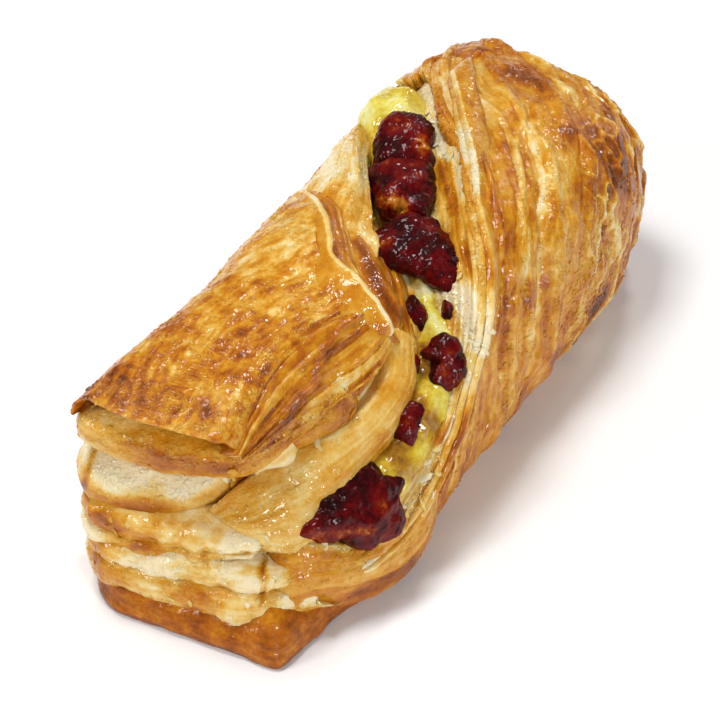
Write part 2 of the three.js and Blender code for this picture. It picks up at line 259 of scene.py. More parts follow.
def mesh_from(name, points, quads, triangles=(), **attributes):
    """A mesh in the part's own place from points in mm, with one number a point an attribute."""
    points = (np.asarray(points, float).reshape(-1, 3) - MIDDLE) * MM
    quads = np.asarray(quads, np.int32).reshape(-1, 4)
    triangles = np.asarray(triangles, np.int32).reshape(-1, 3)
    mesh = bpy.data.meshes.new(name)
    mesh.vertices.add(len(points))
    mesh.vertices.foreach_set("co", points.astype(np.float32).ravel())
    corners = np.concatenate([quads.ravel(), triangles.ravel()])
    starts = np.concatenate([
        np.arange(len(quads)) * 4, len(quads) * 4 + np.arange(len(triangles)) * 3,
    ])
    mesh.loops.add(len(corners))
    mesh.loops.foreach_set("vertex_index", corners)
    mesh.polygons.add(len(starts))
    mesh.polygons.foreach_set("loop_start", starts.astype(np.int32))
    mesh.polygons.foreach_set("use_smooth", np.ones(len(starts), bool))
    mesh.update(calc_edges=True)
    for key, values in attributes.items():
        layer = mesh.attributes.new(key, "FLOAT", "POINT")
        layer.data.foreach_set("value", np.asarray(values, np.float32).ravel())
    return mesh


def piece_of(mesh, node, material):
    """Puts a mesh in the scene as a finished piece that stands for a node of the frame."""
    piece = bpy.data.objects.new(mesh.name, mesh)
    bpy.context.scene.collection.objects.link(piece)
    mesh.materials.clear()
    mesh.materials.append(material)
    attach(piece, "root")
    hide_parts(node)
    print(f"{mesh.name}: {len(mesh.loops) - 2 * len(mesh.polygons)} triangles")
    return piece


# %% Normals of a grid
def grid_normals(points):
    """The normal at each point of a grid, from its neighbours along rows and columns."""
    down = np.gradient(points, axis=0)
    across = np.gradient(points, axis=1)
    return unit(np.cross(down, across))


# %% [markdown]
# ## The body's envelope
# All the dough lies on one lofted shape: squarish at the left, where the leaves lie flat, and
# rounder towards the right. It is the same rule as the frame's, a little larger, because the
# free edges stand out from the frame's ribs. A place on it is a length x and an angle, which is
# 0 at the back, 90 on top and 180 in front.

# %% The envelope
CAP = 4.0
RIGHT_X = 58.0
STATIONS = np.array((
    # x, front at the table and at the top, back at the table and at the top, height, squareness
    (-58, -18, -9, 18, 16.6, 39.5, 9.0),
    (-50, -20, -9, 21, 17.2, 40.0, 7.5),
    (-35, -22, -9, 24, 17.6, 40.0, 5.5),
    (-20, -23, -10, 26, 19, 40.0, 4.0),
    (0, -20, -15, 27, 22, 40.0, 3.1),
    (20, -18, -16, 27, 27, 39.0, 2.8),
    (35, -17, -16, 27, 31, 37.0, 2.7),
    (48, -14, -15, 26, 33, 35.0, 2.7),
    (58, -9, -10, 22, 32, 33.0, 2.7),
), float)
station = through(STATIONS[:, 0], STATIONS[:, 1:])
LOWEST = 0.8


def skin(x, angle):
    """Points of the envelope at lengths x and angles in degrees."""
    x, angle = np.broadcast_arrays(np.asarray(x, float), np.asarray(angle, float))
    front0, front1, back0, back1, top, square = np.moveaxis(station(x), -1, 0)
    past = np.clip((x - RIGHT_X) / CAP, 0, 1)
    grown = (np.sqrt(1 - past**2) * 0.999 + 0.001) ** 0.8
    turn = np.radians(angle)
    along = np.sign(np.cos(turn)) * np.abs(np.cos(turn)) ** (2 / square)
    up = np.sign(np.sin(turn)) * np.abs(np.sin(turn)) ** (2 / square)
    z = top * (0.46 + 0.54 * up * grown)
    share = np.clip(z / top, 0, 1)
    front, back = lerp(front0, front1, share), lerp(back0, back1, share)
    y = (front + back) / 2 + (back - front) / 2 * along * grown
    return np.stack([x, y, np.maximum(z, LOWEST)], -1)


def swept(angle):
    """How far a leaf's edge has moved along x when it has climbed to an angle."""
    past = 180.0 - angle
    return np.where(past > 0, 0.16 * past + 0.0018 * past**2, 0.25 * past)


print("top of the envelope:", skin(-35, 90).round(1))

# %% [markdown]
# ## The crust
# One material does for all the dough. Each mesh carries numbers at its points: how far the dough
# there is baked, and where it lies across and along the leaves. The colour runs from pale dough
# through gold and orange to dark brown with the baking, streaked along the leaves, and a thin
# clear coat stands for the glaze. Reading the streaks from the mesh keeps them with the leaves
# round every bend, which a pattern fixed in space would not do.


# %% Node helpers
class Net:
    """A node tree with short ways to add to it."""

    def __init__(self, tree):
        self.nodes, self.links = tree.nodes, tree.links

    def add(self, kind, inputs=None, **settings):
        """Adds a node, sets its own settings, and sets or links its inputs."""
        node = self.nodes.new(kind)
        for key, value in settings.items():
            setattr(node, key, value)
        for key, value in (inputs or {}).items():
            if isinstance(value, bpy.types.NodeSocket):
                self.links.new(value, node.inputs[key])
            else:
                node.inputs[key].default_value = value
        return node

    def math(self, operation, *values, clamp=False):
        node = self.add("ShaderNodeMath", dict(enumerate(values)), operation=operation)
        node.use_clamp = clamp
        return node.outputs[0]

    def vector(self, operation, inputs):
        return self.add("ShaderNodeVectorMath", inputs, operation=operation).outputs[0]

    def attribute(self, key):
        return self.add("ShaderNodeAttribute", attribute_name=key).outputs["Fac"]

    def ramp(self, factor, stops):
        node = self.add("ShaderNodeValToRGB", {"Fac": factor})
        elements = node.color_ramp.elements
        while len(elements) < len(stops):
            elements.new(0.5)
        for element, (position, colour) in zip(elements, stops):
            element.position = position
            element.color = (*colour, 1.0)
        return node.outputs["Color"]

    def noise(self, vector, scale, detail=3.0, roughness=0.55):
        return self.add("ShaderNodeTexNoise", {
            "Vector": vector, "Scale": scale, "Detail": detail, "Roughness": roughness,
        }).outputs["Fac"]

    def bump(self, height, distance, strength=1.0):
        return self.add("ShaderNodeBump", {
            "Strength": strength, "Distance": distance, "Height": height,
        }).outputs["Normal"]

    def ranged(self, value, low, high, least, most):
        return self.add("ShaderNodeMapRange", {
            "Value": value, "From Min": low, "From Max": high, "To Min": least, "To Max": most,
        }).outputs["Result"]


def fresh_material(name):
    material = bpy.data.materials.new(name)
    material.use_nodes = True
    return material, Net(material.node_tree), material.node_tree.nodes["Principled BSDF"]


def set_values(shader, values):
    for key, value in values.items():
        shader.inputs[key].default_value = value


# %% Crust material
BAKING = (
    (0.0, (0.88, 0.74, 0.46)),
    (0.14, (0.82, 0.58, 0.19)),
    (0.3, (0.72, 0.38, 0.05)),
    (0.44, (0.61, 0.25, 0.008)),
    (0.6, (0.46, 0.13, 0.004)),
    (0.76, (0.28, 0.068, 0.002)),
    (1.0, (0.10, 0.02, 0.002)),
)
GLAZE = {"Specular IOR Level": 0.08, "Coat Weight": 0.65, "Coat Roughness": 0.05, "Coat IOR": 1.5}
DRY = {"Specular IOR Level": 0.1, "Coat Weight": 0.35, "Coat Roughness": 0.1, "Coat IOR": 1.5}
BEAD_GLAZE = {"Specular IOR Level": 0.08, "Coat Weight": 0.9, "Coat Roughness": 0.04, "Coat IOR": 1.5}
SOFT_DOUGH = {"Subsurface Weight": 0.16, "Subsurface Radius": (1.0, 0.45, 0.14), "Subsurface Scale": 0.002}


def crust_material(name, glaze, bumpy=True, paler=0.0):
    material, net, shader = fresh_material(name)
    place = net.add("ShaderNodeTexCoord").outputs["Object"]

    def times(a, b):
        return net.math("MULTIPLY", a, b)

    def plus(a, b, clamp=False):
        return net.math("ADD", a, b, clamp=clamp)

    # Streaks: squeezed across the leaves and drawn out along them.
    across, along = times(net.attribute("across"), 0.85), times(net.attribute("along"), 0.2)
    leafwise = net.add("ShaderNodeCombineXYZ", {0: across, 1: along}).outputs[0]
    streaks = net.noise(leafwise, 1.0, 3.5, 0.55)
    mottle = net.noise(place, 330.0, 4.0, 0.62)
    specks = net.noise(place, 1500.0, 3.0, 0.6)
    blotch = net.attribute("blotch")
    baked = net.attribute("bake")
    baked = plus(plus(baked, -paler), times(plus(streaks, -0.5), plus(times(blotch, 0.6), 0.3)))
    baked = plus(baked, times(plus(mottle, -0.5), plus(times(blotch, 0.9), 0.22)))
    baked = plus(baked, times(plus(specks, -0.5), plus(times(blotch, 0.25), 0.12)), clamp=True)
    net.links.new(net.ramp(baked, BAKING), shader.inputs["Base Color"])
    # Sugar glaze: glossy in most places, drier where the noise says.
    net.links.new(net.ranged(mottle, 0.35, 0.68, 0.3, 0.6), shader.inputs["Roughness"])
    set_values(shader, {**glaze, **SOFT_DOUGH})
    if not bumpy:
        return material
    grain = net.noise(place, 2400.0, 2.0, 0.5)
    height = plus(times(streaks, 0.5), plus(times(specks, 0.6), times(grain, net.attribute("grain"))))
    height = plus(height, times(mottle, 0.8))
    net.links.new(net.bump(height, 0.0003, 0.8), shader.inputs["Normal"])
    # The glaze has beads of its own, smooth and about a millimetre across.
    beads = net.noise(place, 800.0, 1.0, 0.4)
    beaded = plus(times(beads, plus(times(net.attribute("wet"), 0.3), 0.35)), times(streaks, 0.2))
    net.links.new(net.bump(beaded, 0.001), shader.inputs["Coat Normal"])
    return material


crust = crust_material("crust", GLAZE)
dry_crust = crust_material("dry crust", DRY)
flake_finish = crust_material("flake", DRY, bumpy=False, paler=0.16)
bead_finish = crust_material("glaze bead", BEAD_GLAZE, bumpy=False)
print("crust material:", len(crust.node_tree.nodes), "nodes")

# %% [markdown]
# ## Leaves of dough
# A leaf's free edge is not one edge but the edges of the thin pages it has split into. So its
# section is drawn as a staircase: in along the top, round the edge of each page, in again to the
# groove below it, and back along the bottom. Each page's edge stands back by its own wandering
# distance. The section is carried along the rim, and the grid of points that this gives is one
# closed mesh. Two curves place it: the rim, and a line deep in the dough that the leaf points to.


# %% A leaf with pages at its rim
def leaf(name, rim, inner, *, thick, pages, seed, step=0.42, depth=9.0, slope=0.0, stand=0.7,
         swell=0.0, swell_over=4.0, wobble=0.5, bake=(0.3, 0.55, 0.12), grain=0.2, taper=3.0,
         marks=(), ribs=(), blotch=0.5, round_off=0.0, puff=0.0, corner=1.0):
    """A mesh of a leaf. thick goes from one end of the rim to the other, bake is for its top,
    its page edges and its grooves, and slope makes each page stand back more than the next."""
    rng = np.random.default_rng(seed)
    thick_at = through(np.linspace(0, 1, len(thick)), thick)
    thick = max(thick)
    length = np.linalg.norm(np.diff(rim(np.linspace(0, 1, 200)), axis=0), axis=1).sum()
    count = int(length / step)
    s = np.linspace(0, 1, count)
    run = s * length
    edge, deep = rim(s), inner(s)
    inward = unit(deep - edge)
    up = unit(np.cross(unit(np.gradient(edge, axis=0)), inward))
    weights = rng.uniform(0.6, 1.5, pages)
    levels = 1 - 2 * np.r_[0, np.cumsum(weights)] / weights.sum()
    page_thick = thick * weights / weights.sum()
    stand_back, page_tone = [], []
    for i in range(pages):
        level = (levels[i] + levels[i + 1]) / 2
        far = stand * (0.55 * noise_of(run / 7.0, i * 3.7, seed=seed)
                       + 0.35 * noise_of(run / 2.1, i * 5.3, seed=seed + 1)
                       + 0.12 * noise_of(run / 0.7, i * 2.9, seed=seed + 2))
        round_edge = round_off * (1 - math.sqrt(max(0.0, 1 - level**2)))
        stand_back.append(far + slope * (level + 1) / 2 + round_edge)
        page_tone.append(0.16 * noise_of(run / 9.0, i * 4.1, seed=seed + 3))
    columns, heights, tones, edges = [], [], [], []

    def put(distance, level, tone, edginess):
        columns.append(np.broadcast_to(distance, run.shape))
        heights.append(np.full(count, level) if np.isscalar(level) else level)
        tones.append(np.broadcast_to(tone, run.shape))
        edges.append(np.full(count, edginess))

    top, rims, grooves = bake
    for share in np.linspace(1, 0.06, 16):
        reach = stand_back[0] + 0.1 + 0.36 * page_thick[0] + (depth - stand_back[0]) * share**1.6
        nearness = math.exp(-share * 6)
        put(reach, 1.0, top + (rims - top) * 0.45 * nearness + page_tone[0], 0.0)
    for i in range(pages):
        th = page_thick[i]
        high, low = levels[i], levels[i + 1]
        own = rims + 2.0 * page_tone[i]
        for back, share, tone in ((0.34, 0.0, 0.75), (0.08, 0.14, 1.0), (0.0, 0.38, 1.1),
                                  (0.0, 0.62, 1.0), (0.08, 0.86, 0.9), (0.34, 1.0, 0.6)):
            put(stand_back[i] + back * th * corner, lerp(high, low, share), own * tone, 1.0)
        if i + 1 < pages:
            groove = np.maximum(stand_back[i], stand_back[i + 1]) + 0.25 + 0.5 * th
            put(groove, low, grooves, -1.0)
    for share in np.linspace(0.06, 1, 9):
        reach = stand_back[-1] + 0.1 + 0.36 * page_thick[-1] + (depth - stand_back[-1]) * share**1.6
        put(reach, -1.0, grooves + (rims - grooves) * math.exp(-share * 14), -0.3)
    distance = np.stack(columns, 1)
    level = np.stack(heights, 1)
    ends = np.clip(np.minimum(run, length - run) / taper, 0, 1)[:, None]
    fade = np.sqrt(1 - (1 - ends) ** 2) * 0.9 + 0.1
    half = thick_at(s)[:, None] / 2 + swell / 2 * (1 - np.exp(-np.maximum(distance, 0) / swell_over))
    wave = wobble * (noise_of(run / 11.0, 0.5, seed=seed + 5)
                     + 0.4 * noise_of(run / 3.5, 0.5, seed=seed + 6))
    sway = wobble * noise_of(run / 9.0, 4.5, seed=seed + 7)
    reach = distance + sway[:, None] + 1.6 * (1 - fade)
    points = (edge[:, None] + inward[:, None] * reach[..., None]
              + up[:, None] * (level * half * fade + wave[:, None])[..., None])
    out = loop_normals(points)
    if (out * (points - points.mean(1, keepdims=True))).sum() < 0:
        out = -out
    bumps = puff * (rough(points / np.array((4.5, 4.5, 2.4)), 3, seed + 14) + 0.5 * abs(
        noise(points / np.array((2.6, 2.6, 5.0)), seed + 15)))
    points = points + out * (painted(points, out, ribs, seed) + bumps)[..., None]
    points = roughened(points, seed, closed_columns=True, fine=0.02 if grain < 1 else 0.08)
    quads = grid_quads(count, distance.shape[1], loop_columns=True)
    # The bake is lowered on the crests of the puffs and raised in their hollows: painted highlight on the
    # crests and painted shade in the hollows.
    return with_caps(name, points, quads, {
        "bake": np.stack(tones, 1) + painted(points, out, marks, seed) - 0.25 * np.maximum(bumps, -0.5),
        "across": level * thick / 2 + 0 * distance + distance * 0.35 + seed * 3.1,
        "along": np.broadcast_to(run[:, None], distance.shape),
        "grain": np.full(distance.shape, grain),
        "blotch": np.full(distance.shape, blotch),
        "wet": wetness(points, out, seed),
        "torn": tornness(points, out, seed),
    })


# %% Grids that close on themselves
def loop_normals(points):
    """The normals of a grid whose columns close on themselves."""
    padded = np.concatenate([points[:, -1:], points, points[:, :1]], axis=1)
    return grid_normals(padded)[:, 1:-1]


def roughened(points, seed, closed_columns=False, coarse=0.16, fine=0.02):
    """Points of a grid, moved a little along its normals by noise."""
    normal = loop_normals(points) if closed_columns else grid_normals(points)
    push = coarse * rough(points / 2.6, 3, seed + 11) + fine * noise(points / 0.55, seed + 12)
    return points + normal * push[..., None]


def with_caps(name, points, quads, attributes):
    """Closes the two ends of a loop-sectioned grid with a fan each, and turns it right way out."""
    rows, columns = points.shape[:2]
    flat = points.reshape(-1, 3)
    first, last = rows * columns, rows * columns + 1
    a = np.arange(columns)
    b = (a + 1) % columns
    base = (rows - 1) * columns
    fans = np.concatenate([
        np.stack([b, a, np.full(columns, first)], 1),
        np.stack([base + a, base + b, np.full(columns, last)], 1),
    ])
    flat = np.concatenate([flat, [points[0].mean(0)], [points[-1].mean(0)]])
    full = {
        key: np.r_[np.asarray(v).ravel(), np.asarray(v)[0].mean(), np.asarray(v)[-1].mean()]
        for key, v in attributes.items()
    }
    if signed_volume(flat, quads, fans) < 0:
        quads, fans = quads[:, ::-1], fans[:, ::-1]
    return mesh_from(name, flat, quads, fans, **full)


def signed_volume(points, quads, triangles):
    both = np.concatenate([quads[:, [0, 1, 2]], quads[:, [0, 2, 3]], triangles])
    a, b, c = points[both[:, 0]], points[both[:, 1]], points[both[:, 2]]
    return float(np.einsum("ij,ij->", a, np.cross(b, c))) / 6


# %% [markdown]
# ## Where the picture shows it
# Food has no drawing, only the picture. A crack, a stain or a fold is easiest to find there, so it
# is written down as a short path in the picture's pixels, and the camera's own rule turns every
# point of a mesh into a pixel to tell how near it is. The mark ends up in the mesh as a number
# at each point, so it stays on the dough from every side. What faces away gets none of it.


# %% Marks from the picture
picture_right = np.array((math.cos(AZIMUTH), math.sin(AZIMUTH), 0.0))
picture_up = np.cross(towards_camera, picture_right)


def in_picture(points):
    """The pixel where each point shows, x to the right and y down."""
    offset = points - AIM
    scale = PIXELS_PER_MM * DISTANCE / (DISTANCE - offset @ towards_camera)
    middle = FRAME_PIXELS / 2
    return np.stack([middle + offset @ picture_right * scale, middle - offset @ picture_up * scale], -1)


def on_plane(pixels, at, face):
    """The points of a plane through a place, square to a direction, that show at pixels."""
    pixels, face = np.asarray(pixels, float), np.asarray(face, float)
    aside = (pixels - FRAME_PIXELS / 2) / (PIXELS_PER_MM * DISTANCE)
    ray = aside[:, :1] * picture_right - aside[:, 1:] * picture_up - towards_camera
    eye = AIM + DISTANCE * towards_camera
    return eye + ray * (((np.asarray(at, float) - eye) @ face) / (ray @ face))[:, None]


def near(pixels, path, width):
    """1 on a path, falling to 0 at a width from it, all in pixels."""
    path = np.asarray(path, float)
    nearest = np.full(pixels.shape[:-1], 1e9)
    for a, b in zip(path[:-1], path[1:]):
        along = b - a
        share = np.clip(((pixels - a) @ along) / (along @ along), 0, 1)
        nearest = np.minimum(nearest, np.linalg.norm(pixels - a - share[..., None] * along, axis=-1))
    return smoothstep(1.0, 0.0, nearest / width)


def painted(points, normals, marks, seed=0):
    """The sum of marks, each a path, a width and a strength, with uneven outlines."""
    pixels = in_picture(points)
    wander = 2.2 * np.stack([noise(points / 2.7, seed + 71), noise(points / 2.7, seed + 72)], -1)
    facing = smoothstep(0.0, 0.25, normals @ towards_camera)
    total = np.zeros(points.shape[:-1])
    for path, width, strength in marks:
        total = total + strength * near(pixels + wander, path, width)
    return total * facing


# %% Where it is wet and where it is torn
WET_PLACES = (
    (((100, 392), (140, 395), (200, 418)), 26, 1.2),
    (((225, 430), (243, 405)), 14, 1.0),
    (((130, 350), (180, 330)), 30, 0.25),
    (((244, 414), (251, 397), (264, 371), (277, 340), (299, 327), (329, 282)), 9, 1.2),
    (((110, 470), (190, 490)), 20, 1.3),
    (((100, 432), (150, 445), (212, 460)), 8, 1.0),
    (((240, 465), (300, 425), (345, 395)), 10, 0.9),
    (((304, 410), (320, 380)), 12, 0.5),
    (((560, 178), (600, 190), (600, 260), (575, 330)), 30, 0.9),
    (((514, 141), (522, 200), (526, 270), (529, 351)), 6, 0.9),
    (((465, 134), (480, 172), (472, 207), (478, 258), (483, 285)), 8, 1.4),
    (((430, 90), (450, 130), (470, 180)), 14, 0.8),
    (((545, 180), (560, 230), (555, 300)), 26, 0.6),
    (((415, 290), (445, 300)), 12, 0.8),
    (((92, 440), (150, 456), (212, 466)), 10, 0.7),
    (((504, 283), (510, 350), (506, 417)), 5, 1.2),
    (((130, 560), (180, 575), (230, 560)), 22, 0.7),
    (((285, 215), (300, 240)), 16, 0.8),
    (((330, 150), (352, 190)), 18, 0.5),
    (((455, 300), (478, 345)), 16, 0.9),
    (((262, 548), (345, 549)), 6, 1.0),
    (((405, 515), (438, 458)), 10, 0.9),
    (((530, 80), (560, 110), (590, 105)), 18, 0.6),
)


def wetness(points, normals, seed):
    """How thickly the glaze beads, a little everywhere and more where the picture glitters."""
    return 0.1 + painted(points, normals, WET_PLACES, seed)


TORN_PLACES = (
    (((450, 285), (478, 300), (482, 350)), 16, 1.0),
    (((440, 452), (430, 480), (408, 512)), 12, 1.3),
    (((214, 462), (233, 479)), 8, 1.6),
    (((156, 602), (213, 606), (276, 602)), 4, 0.5),
    (((105, 520), (140, 548), (172, 550)), 7, 0.5),
    (((268, 539), (348, 549)), 6, 0.9),
    (((364, 394), (330, 440), (300, 452)), 10, 0.3),
    (((428, 100), (440, 130), (446, 170)), 10, 0.6),
)


def tornness(points, normals, seed):
    """How thickly small torn flakes of dough lie."""
    return np.maximum(0.0, painted(points, normals, TORN_PLACES, seed))


print("wet places:", len(WET_PLACES), "torn places:", len(TORN_PLACES))


# %% [markdown]
# ## Laminated surfaces
# Where the strip was cut, its leaves show edge-on: pages side by side, some standing proud, some
# sunk, browned on the crests and pale in the grooves. On a grid whose columns follow the pages
# this is a matter of height: each page gets its own width, crest and tone, and its border wanders
# by a smooth noise. The same rule serves for terraces, if the crest leans to one side.


# %% Pages side by side
def page_borders(start, stop, widths, seed):
    """Uneven borders from start to stop. widths is the narrowest and the widest page."""
    rng = np.random.default_rng(seed)
    borders = [start]
    while borders[-1] < stop:
        borders.append(borders[-1] + rng.uniform(*widths))
    return np.array(borders)


def pages_relief(across, along, borders, seed, height=(0.3, 1.0), wander=0.5, lean=0.0, tone=0.12):
    """Height, tone and crest share of pages side by side at places across and along them."""
    rng = np.random.default_rng(seed)
    count = len(borders)
    crest = rng.uniform(*height, count)
    own_tone = rng.normal(0, tone, count)
    rise, shade, ridge = (np.zeros(np.shape(across)) for _ in range(3))
    lines = [
        borders[i] + wander * (noise_of(along / 13.0, i * 5.1, seed=seed)
                               + 0.5 * noise_of(along / 4.5, i * 3.3, seed=seed + 1))
        for i in range(count)
    ]
    for i in range(count - 1):
        low, high = lines[i], np.maximum(lines[i + 1], lines[i] + 0.08)
        inside = (across >= low) & (across < high)
        q = np.clip((across - low) / (high - low), 0, 1)
        width = high - low
        peak = 0.5 - 0.42 * lean
        bell = np.where(q < peak, q / peak, (1 - q) / (1 - peak))
        flat = np.clip(bell * np.maximum(width, 0.5) / 0.8, 0, 1)
        shape = np.sqrt(np.clip(1 - (1 - flat) ** 2, 0, 1)) if lean == 0 else bell ** 0.8
        swell = 0.7 + 0.5 * noise_of(along / 8.0, i * 7.7, seed=seed + 2)
        rise = np.where(inside, crest[i] * swell * shape * np.minimum(1, width / 0.9), rise)
        change = 1.6 * tone * noise_of(along / 10.0, i * 2.3, seed=seed + 3)
        shade = np.where(inside, own_tone[i] + change, shade)
        ridge = np.where(inside, shape, ridge)
    return rise, shade, ridge


# %% A shell from a grid with a mask
def shell(name, points, normals, keep, thick, **attributes):
    """A closed shell: the kept cells of a grid, the same cells thick below, and the walls between."""
    rows, columns = points.shape[:2]
    quads = grid_quads(rows, columns)[keep.ravel()]
    flat, out = points.reshape(-1, 3), normals.reshape(-1, 3)
    a, b, c, d = flat[quads].transpose(1, 0, 2)
    if (np.cross(c - a, d - b) * out[quads[:, 0]]).sum() < 0:
        quads = quads[:, ::-1]
    used = np.unique(quads)
    renumber = np.zeros(len(flat), np.int64)
    renumber[used] = np.arange(len(used))
    quads = renumber[quads]
    outer = flat[used]
    outer[:, 2] = np.maximum(outer[:, 2], 0.25)
    inner = outer - out[used] * np.broadcast_to(thick, (rows, columns)).ravel()[used][:, None]
    inner[:, 2] = np.maximum(inner[:, 2], 0.3)
    count = len(used)
    starts, ends = quads.ravel(), np.roll(quads, -1, axis=1).ravel()
    forward, backward = starts * count + ends, ends * count + starts
    border = ~np.isin(forward, backward)
    s, e = starts[border], ends[border]
    walls = np.stack([e, s, s + count, e + count], 1)
    faces = np.concatenate([quads, quads[:, ::-1] + count, walls])
    values = {key: np.tile(np.broadcast_to(value, (rows, columns)).ravel()[used], 2)
              for key, value in attributes.items()}
    return mesh_from(name, np.concatenate([outer, inner]), faces, **values)


def crust_shell(name, points, normals, thick, seed, inside=None, **tones):
    """A finished shell of crust, of a whole grid or of the points of it that are inside."""
    mask = np.ones(points.shape[:2], bool) if inside is None else inside
    keep = mask[:-1, :-1] & mask[1:, :-1] & mask[1:, 1:] & mask[:-1, 1:]
    mesh = shell(name, points, normals, keep, thick, wet=wetness(points, normals, seed),
                 torn=tornness(points, normals, seed), **tones)
    return piece_of(mesh, "pastry", crust)


print("laminated surfaces ready")

# %% [markdown]
# ## The core
# Under all the leaves lies the inner dough, pale and soft, that shows wherever the leaves gape: at
# the back of the recesses on the left, and as the walls of the valley that holds the filling. It
# is the envelope drawn in by a few millimetres, and drawn in further along the valley's line.


# %% Curves that several pieces share
VALLEY = np.array((
    (-43, -9, 15.5), (-37, -14, 16), (-30, -16, 17), (-22.5, -16.5, 19.5), (-15, -16, 22.5),
    (-8, -13.5, 25), (-2, -10, 27), (3.5, -5, 29), (10, 2, 30.5), (18.5, 9.7, 31.5),
    (27.7, 17, 32), (35.5, 23, 31), (41, 27, 27),
), float)
RIGHT_LIP = np.array((
    (-38, -21.5, 8.5), (-29, -22.2, 9.5), (-20.3, -22.6, 14.5), (-10, -20.8, 22), (0.1, -17.3, 30.5),
    (7.8, -11.4, 35.8), (18.4, -2.8, 38.4), (30.4, 7.4, 38.2), (42, 17.5, 36.4),
), float)
CAP_REACH = 16.0


def cap_place(c):
    """The length x on the envelope after a way c that goes on over the right end."""
    return np.minimum(c, RIGHT_X) + CAP * np.sin(np.clip((c - RIGHT_X) / CAP_REACH, 0, 1) * math.pi / 2)


def way_from(points, path):
    """How far points are from a curve in space, and where along it the nearest place is."""
    samples = spline(path)(np.linspace(0, 1, 160))
    flat = points.reshape(-1, 3)
    nearest, place = np.full(len(flat), 1e9), np.zeros(len(flat))
    for i, sample in enumerate(samples):
        d = ((flat - sample) ** 2).sum(1)
        closer = d < nearest
        nearest[closer], place[closer] = d[closer], i / (len(samples) - 1)
    return np.sqrt(nearest).reshape(points.shape[:-1]), place.reshape(points.shape[:-1])


# %% The core
CORE_INSET = 2.4
VALLEY_HALF = 6.5
UNDER_FILLING = 3.0
DEEPEST_CARVE = 11.0
CORE_LEFT = -45.0
core_c = np.arange(CORE_LEFT, RIGHT_X + CAP_REACH, 0.75)[:, None]
core_angle = np.linspace(0, 360, 230, endpoint=False)[None, :]
core_points = skin(cap_place(core_c), core_angle)
core_out = loop_normals(core_points)
core_middle = np.array((0.0, 4.0, 16.0))
if ((core_points - core_middle) * core_out)[..., 1:].sum() < 0:
    core_out = -core_out
from_valley, valley_share = way_from(core_points, VALLEY)
to_valley = core_points - spline(VALLEY)(valley_share)
over_valley = (to_valley * core_out).sum(-1)
beside_valley = np.sqrt(np.maximum(from_valley**2 - over_valley**2, 0))
inset = CORE_INSET + 0.5 * rough(core_points / 6, 4, 5)
carved = smoothstep(VALLEY_HALF + 3.5, VALLEY_HALF - 2.0, beside_valley) * (over_valley > 0)
carved = carved * smoothstep(0.02, 0.2, valley_share)
inset = lerp(inset, np.clip(over_valley + UNDER_FILLING, inset, DEEPEST_CARVE), carved)
inset = inset + 3.5 * smoothstep(7, 0, core_c - CORE_LEFT) ** 2
core_points = core_points - core_out * inset[..., None]
core_points[..., 2] = np.maximum(core_points[..., 2], 0.6)
# The core's first mark is painted shade: a darker tone where the valley's left wall lies in shadow.
core_mesh = with_caps("inner_dough", core_points, grid_quads(*core_points.shape[:2], loop_columns=True), {
    "bake": 0.10 + painted(core_points, core_out, (
        (((360, 245), (378, 285), (395, 318)), 20, 0.72),
        (((410, 300), (425, 330), (420, 360)), 16, 0.3),
    ), 12),
    "across": from_valley,
    "along": core_c + 0 * core_angle,
    "grain": np.full(core_points.shape[:2], 0.2),
    "blotch": np.full(core_points.shape[:2], 0.3),
})
piece_of(core_mesh, "pastry", crust)

# %% [markdown]
# ## The leaves at the open end
# The strip's free edges gape at the left: a top flap, three leaves that have swollen apart below
# it, and the base that baked hard on the tray. The upper ones browned at the rim, while the lower
# ones, in their shade, stayed pale. Each is carried round the end and on along the front.


# %% Rims that point inwards
def deep_line(rim_points, reach=10.0, drop=0.0):
    """For each point of a rim, the point in the dough that its leaf comes from."""
    rim_points = np.asarray(rim_points, float)
    target = np.stack([
        np.maximum(rim_points[:, 0] + 3.0, -42.0), np.full(len(rim_points), 4.0), rim_points[:, 2],
    ], 1)
    inward = unit(target - rim_points)
    return rim_points + inward * reach + (0, 0, drop)


def pages_leaf(name, rim, reach=10.0, drop=0.0, **settings):
    mesh = leaf(name, spline(rim), spline(deep_line(rim, reach, drop)), depth=reach, **settings)
    return piece_of(mesh, "pastry", crust)


# %% The second and third leaves
RIM_SECOND = (
    (-44, 18.5, 32), (-51, 18.5, 32.5), (-55.2, 17.6, 32.8), (-57.8, 14.8, 32.9), (-57, 8.5, 32),
    (-55, 1.8, 31.8), (-52.2, -4.4, 31.8), (-49.6, -8, 32.2), (-46, -9.8, 32.7), (-40, -10.9, 32.6),
    (-32, -11.4, 31.6), (-24, -12, 30.9), (-18, -11.8, 32.2), (-15, -10.6, 34),
)
pages_leaf("second_leaf", RIM_SECOND, thick=(3.0, 3.4, 4.2, 3.8, 2.6, 1.8, 1.3), pages=1, seed=21,
           stand=0.3, swell=4.4, swell_over=3.0, round_off=0.0, bake=(0.36, 0.42, 0.56), grain=1.4,
           blotch=0.35, puff=0.12, corner=0.5, marks=(
               (((82, 424), (104, 434), (130, 442)), 12, 0.16),
               (((88, 441), (110, 454), (140, 463), (180, 468), (230, 473)), 8, 0.13),
               (((280, 446), (300, 438), (330, 425)), 8, 0.2),
           ))
RIM_THIRD = (
    (-44, 22.5, 21), (-52, 19.8, 22), (-57.0, 16.8, 22.4), (-59.0, 13.7, 22), (-57, 8.6, 20.8),
    (-53.4, 2.6, 20.8), (-49.4, -2.2, 22), (-46.4, -4.6, 24.2), (-42, -7.6, 26.6),
    (-37, -10.8, 28.4), (-31, -12.6, 29.2), (-25, -12.6, 29.2),
)
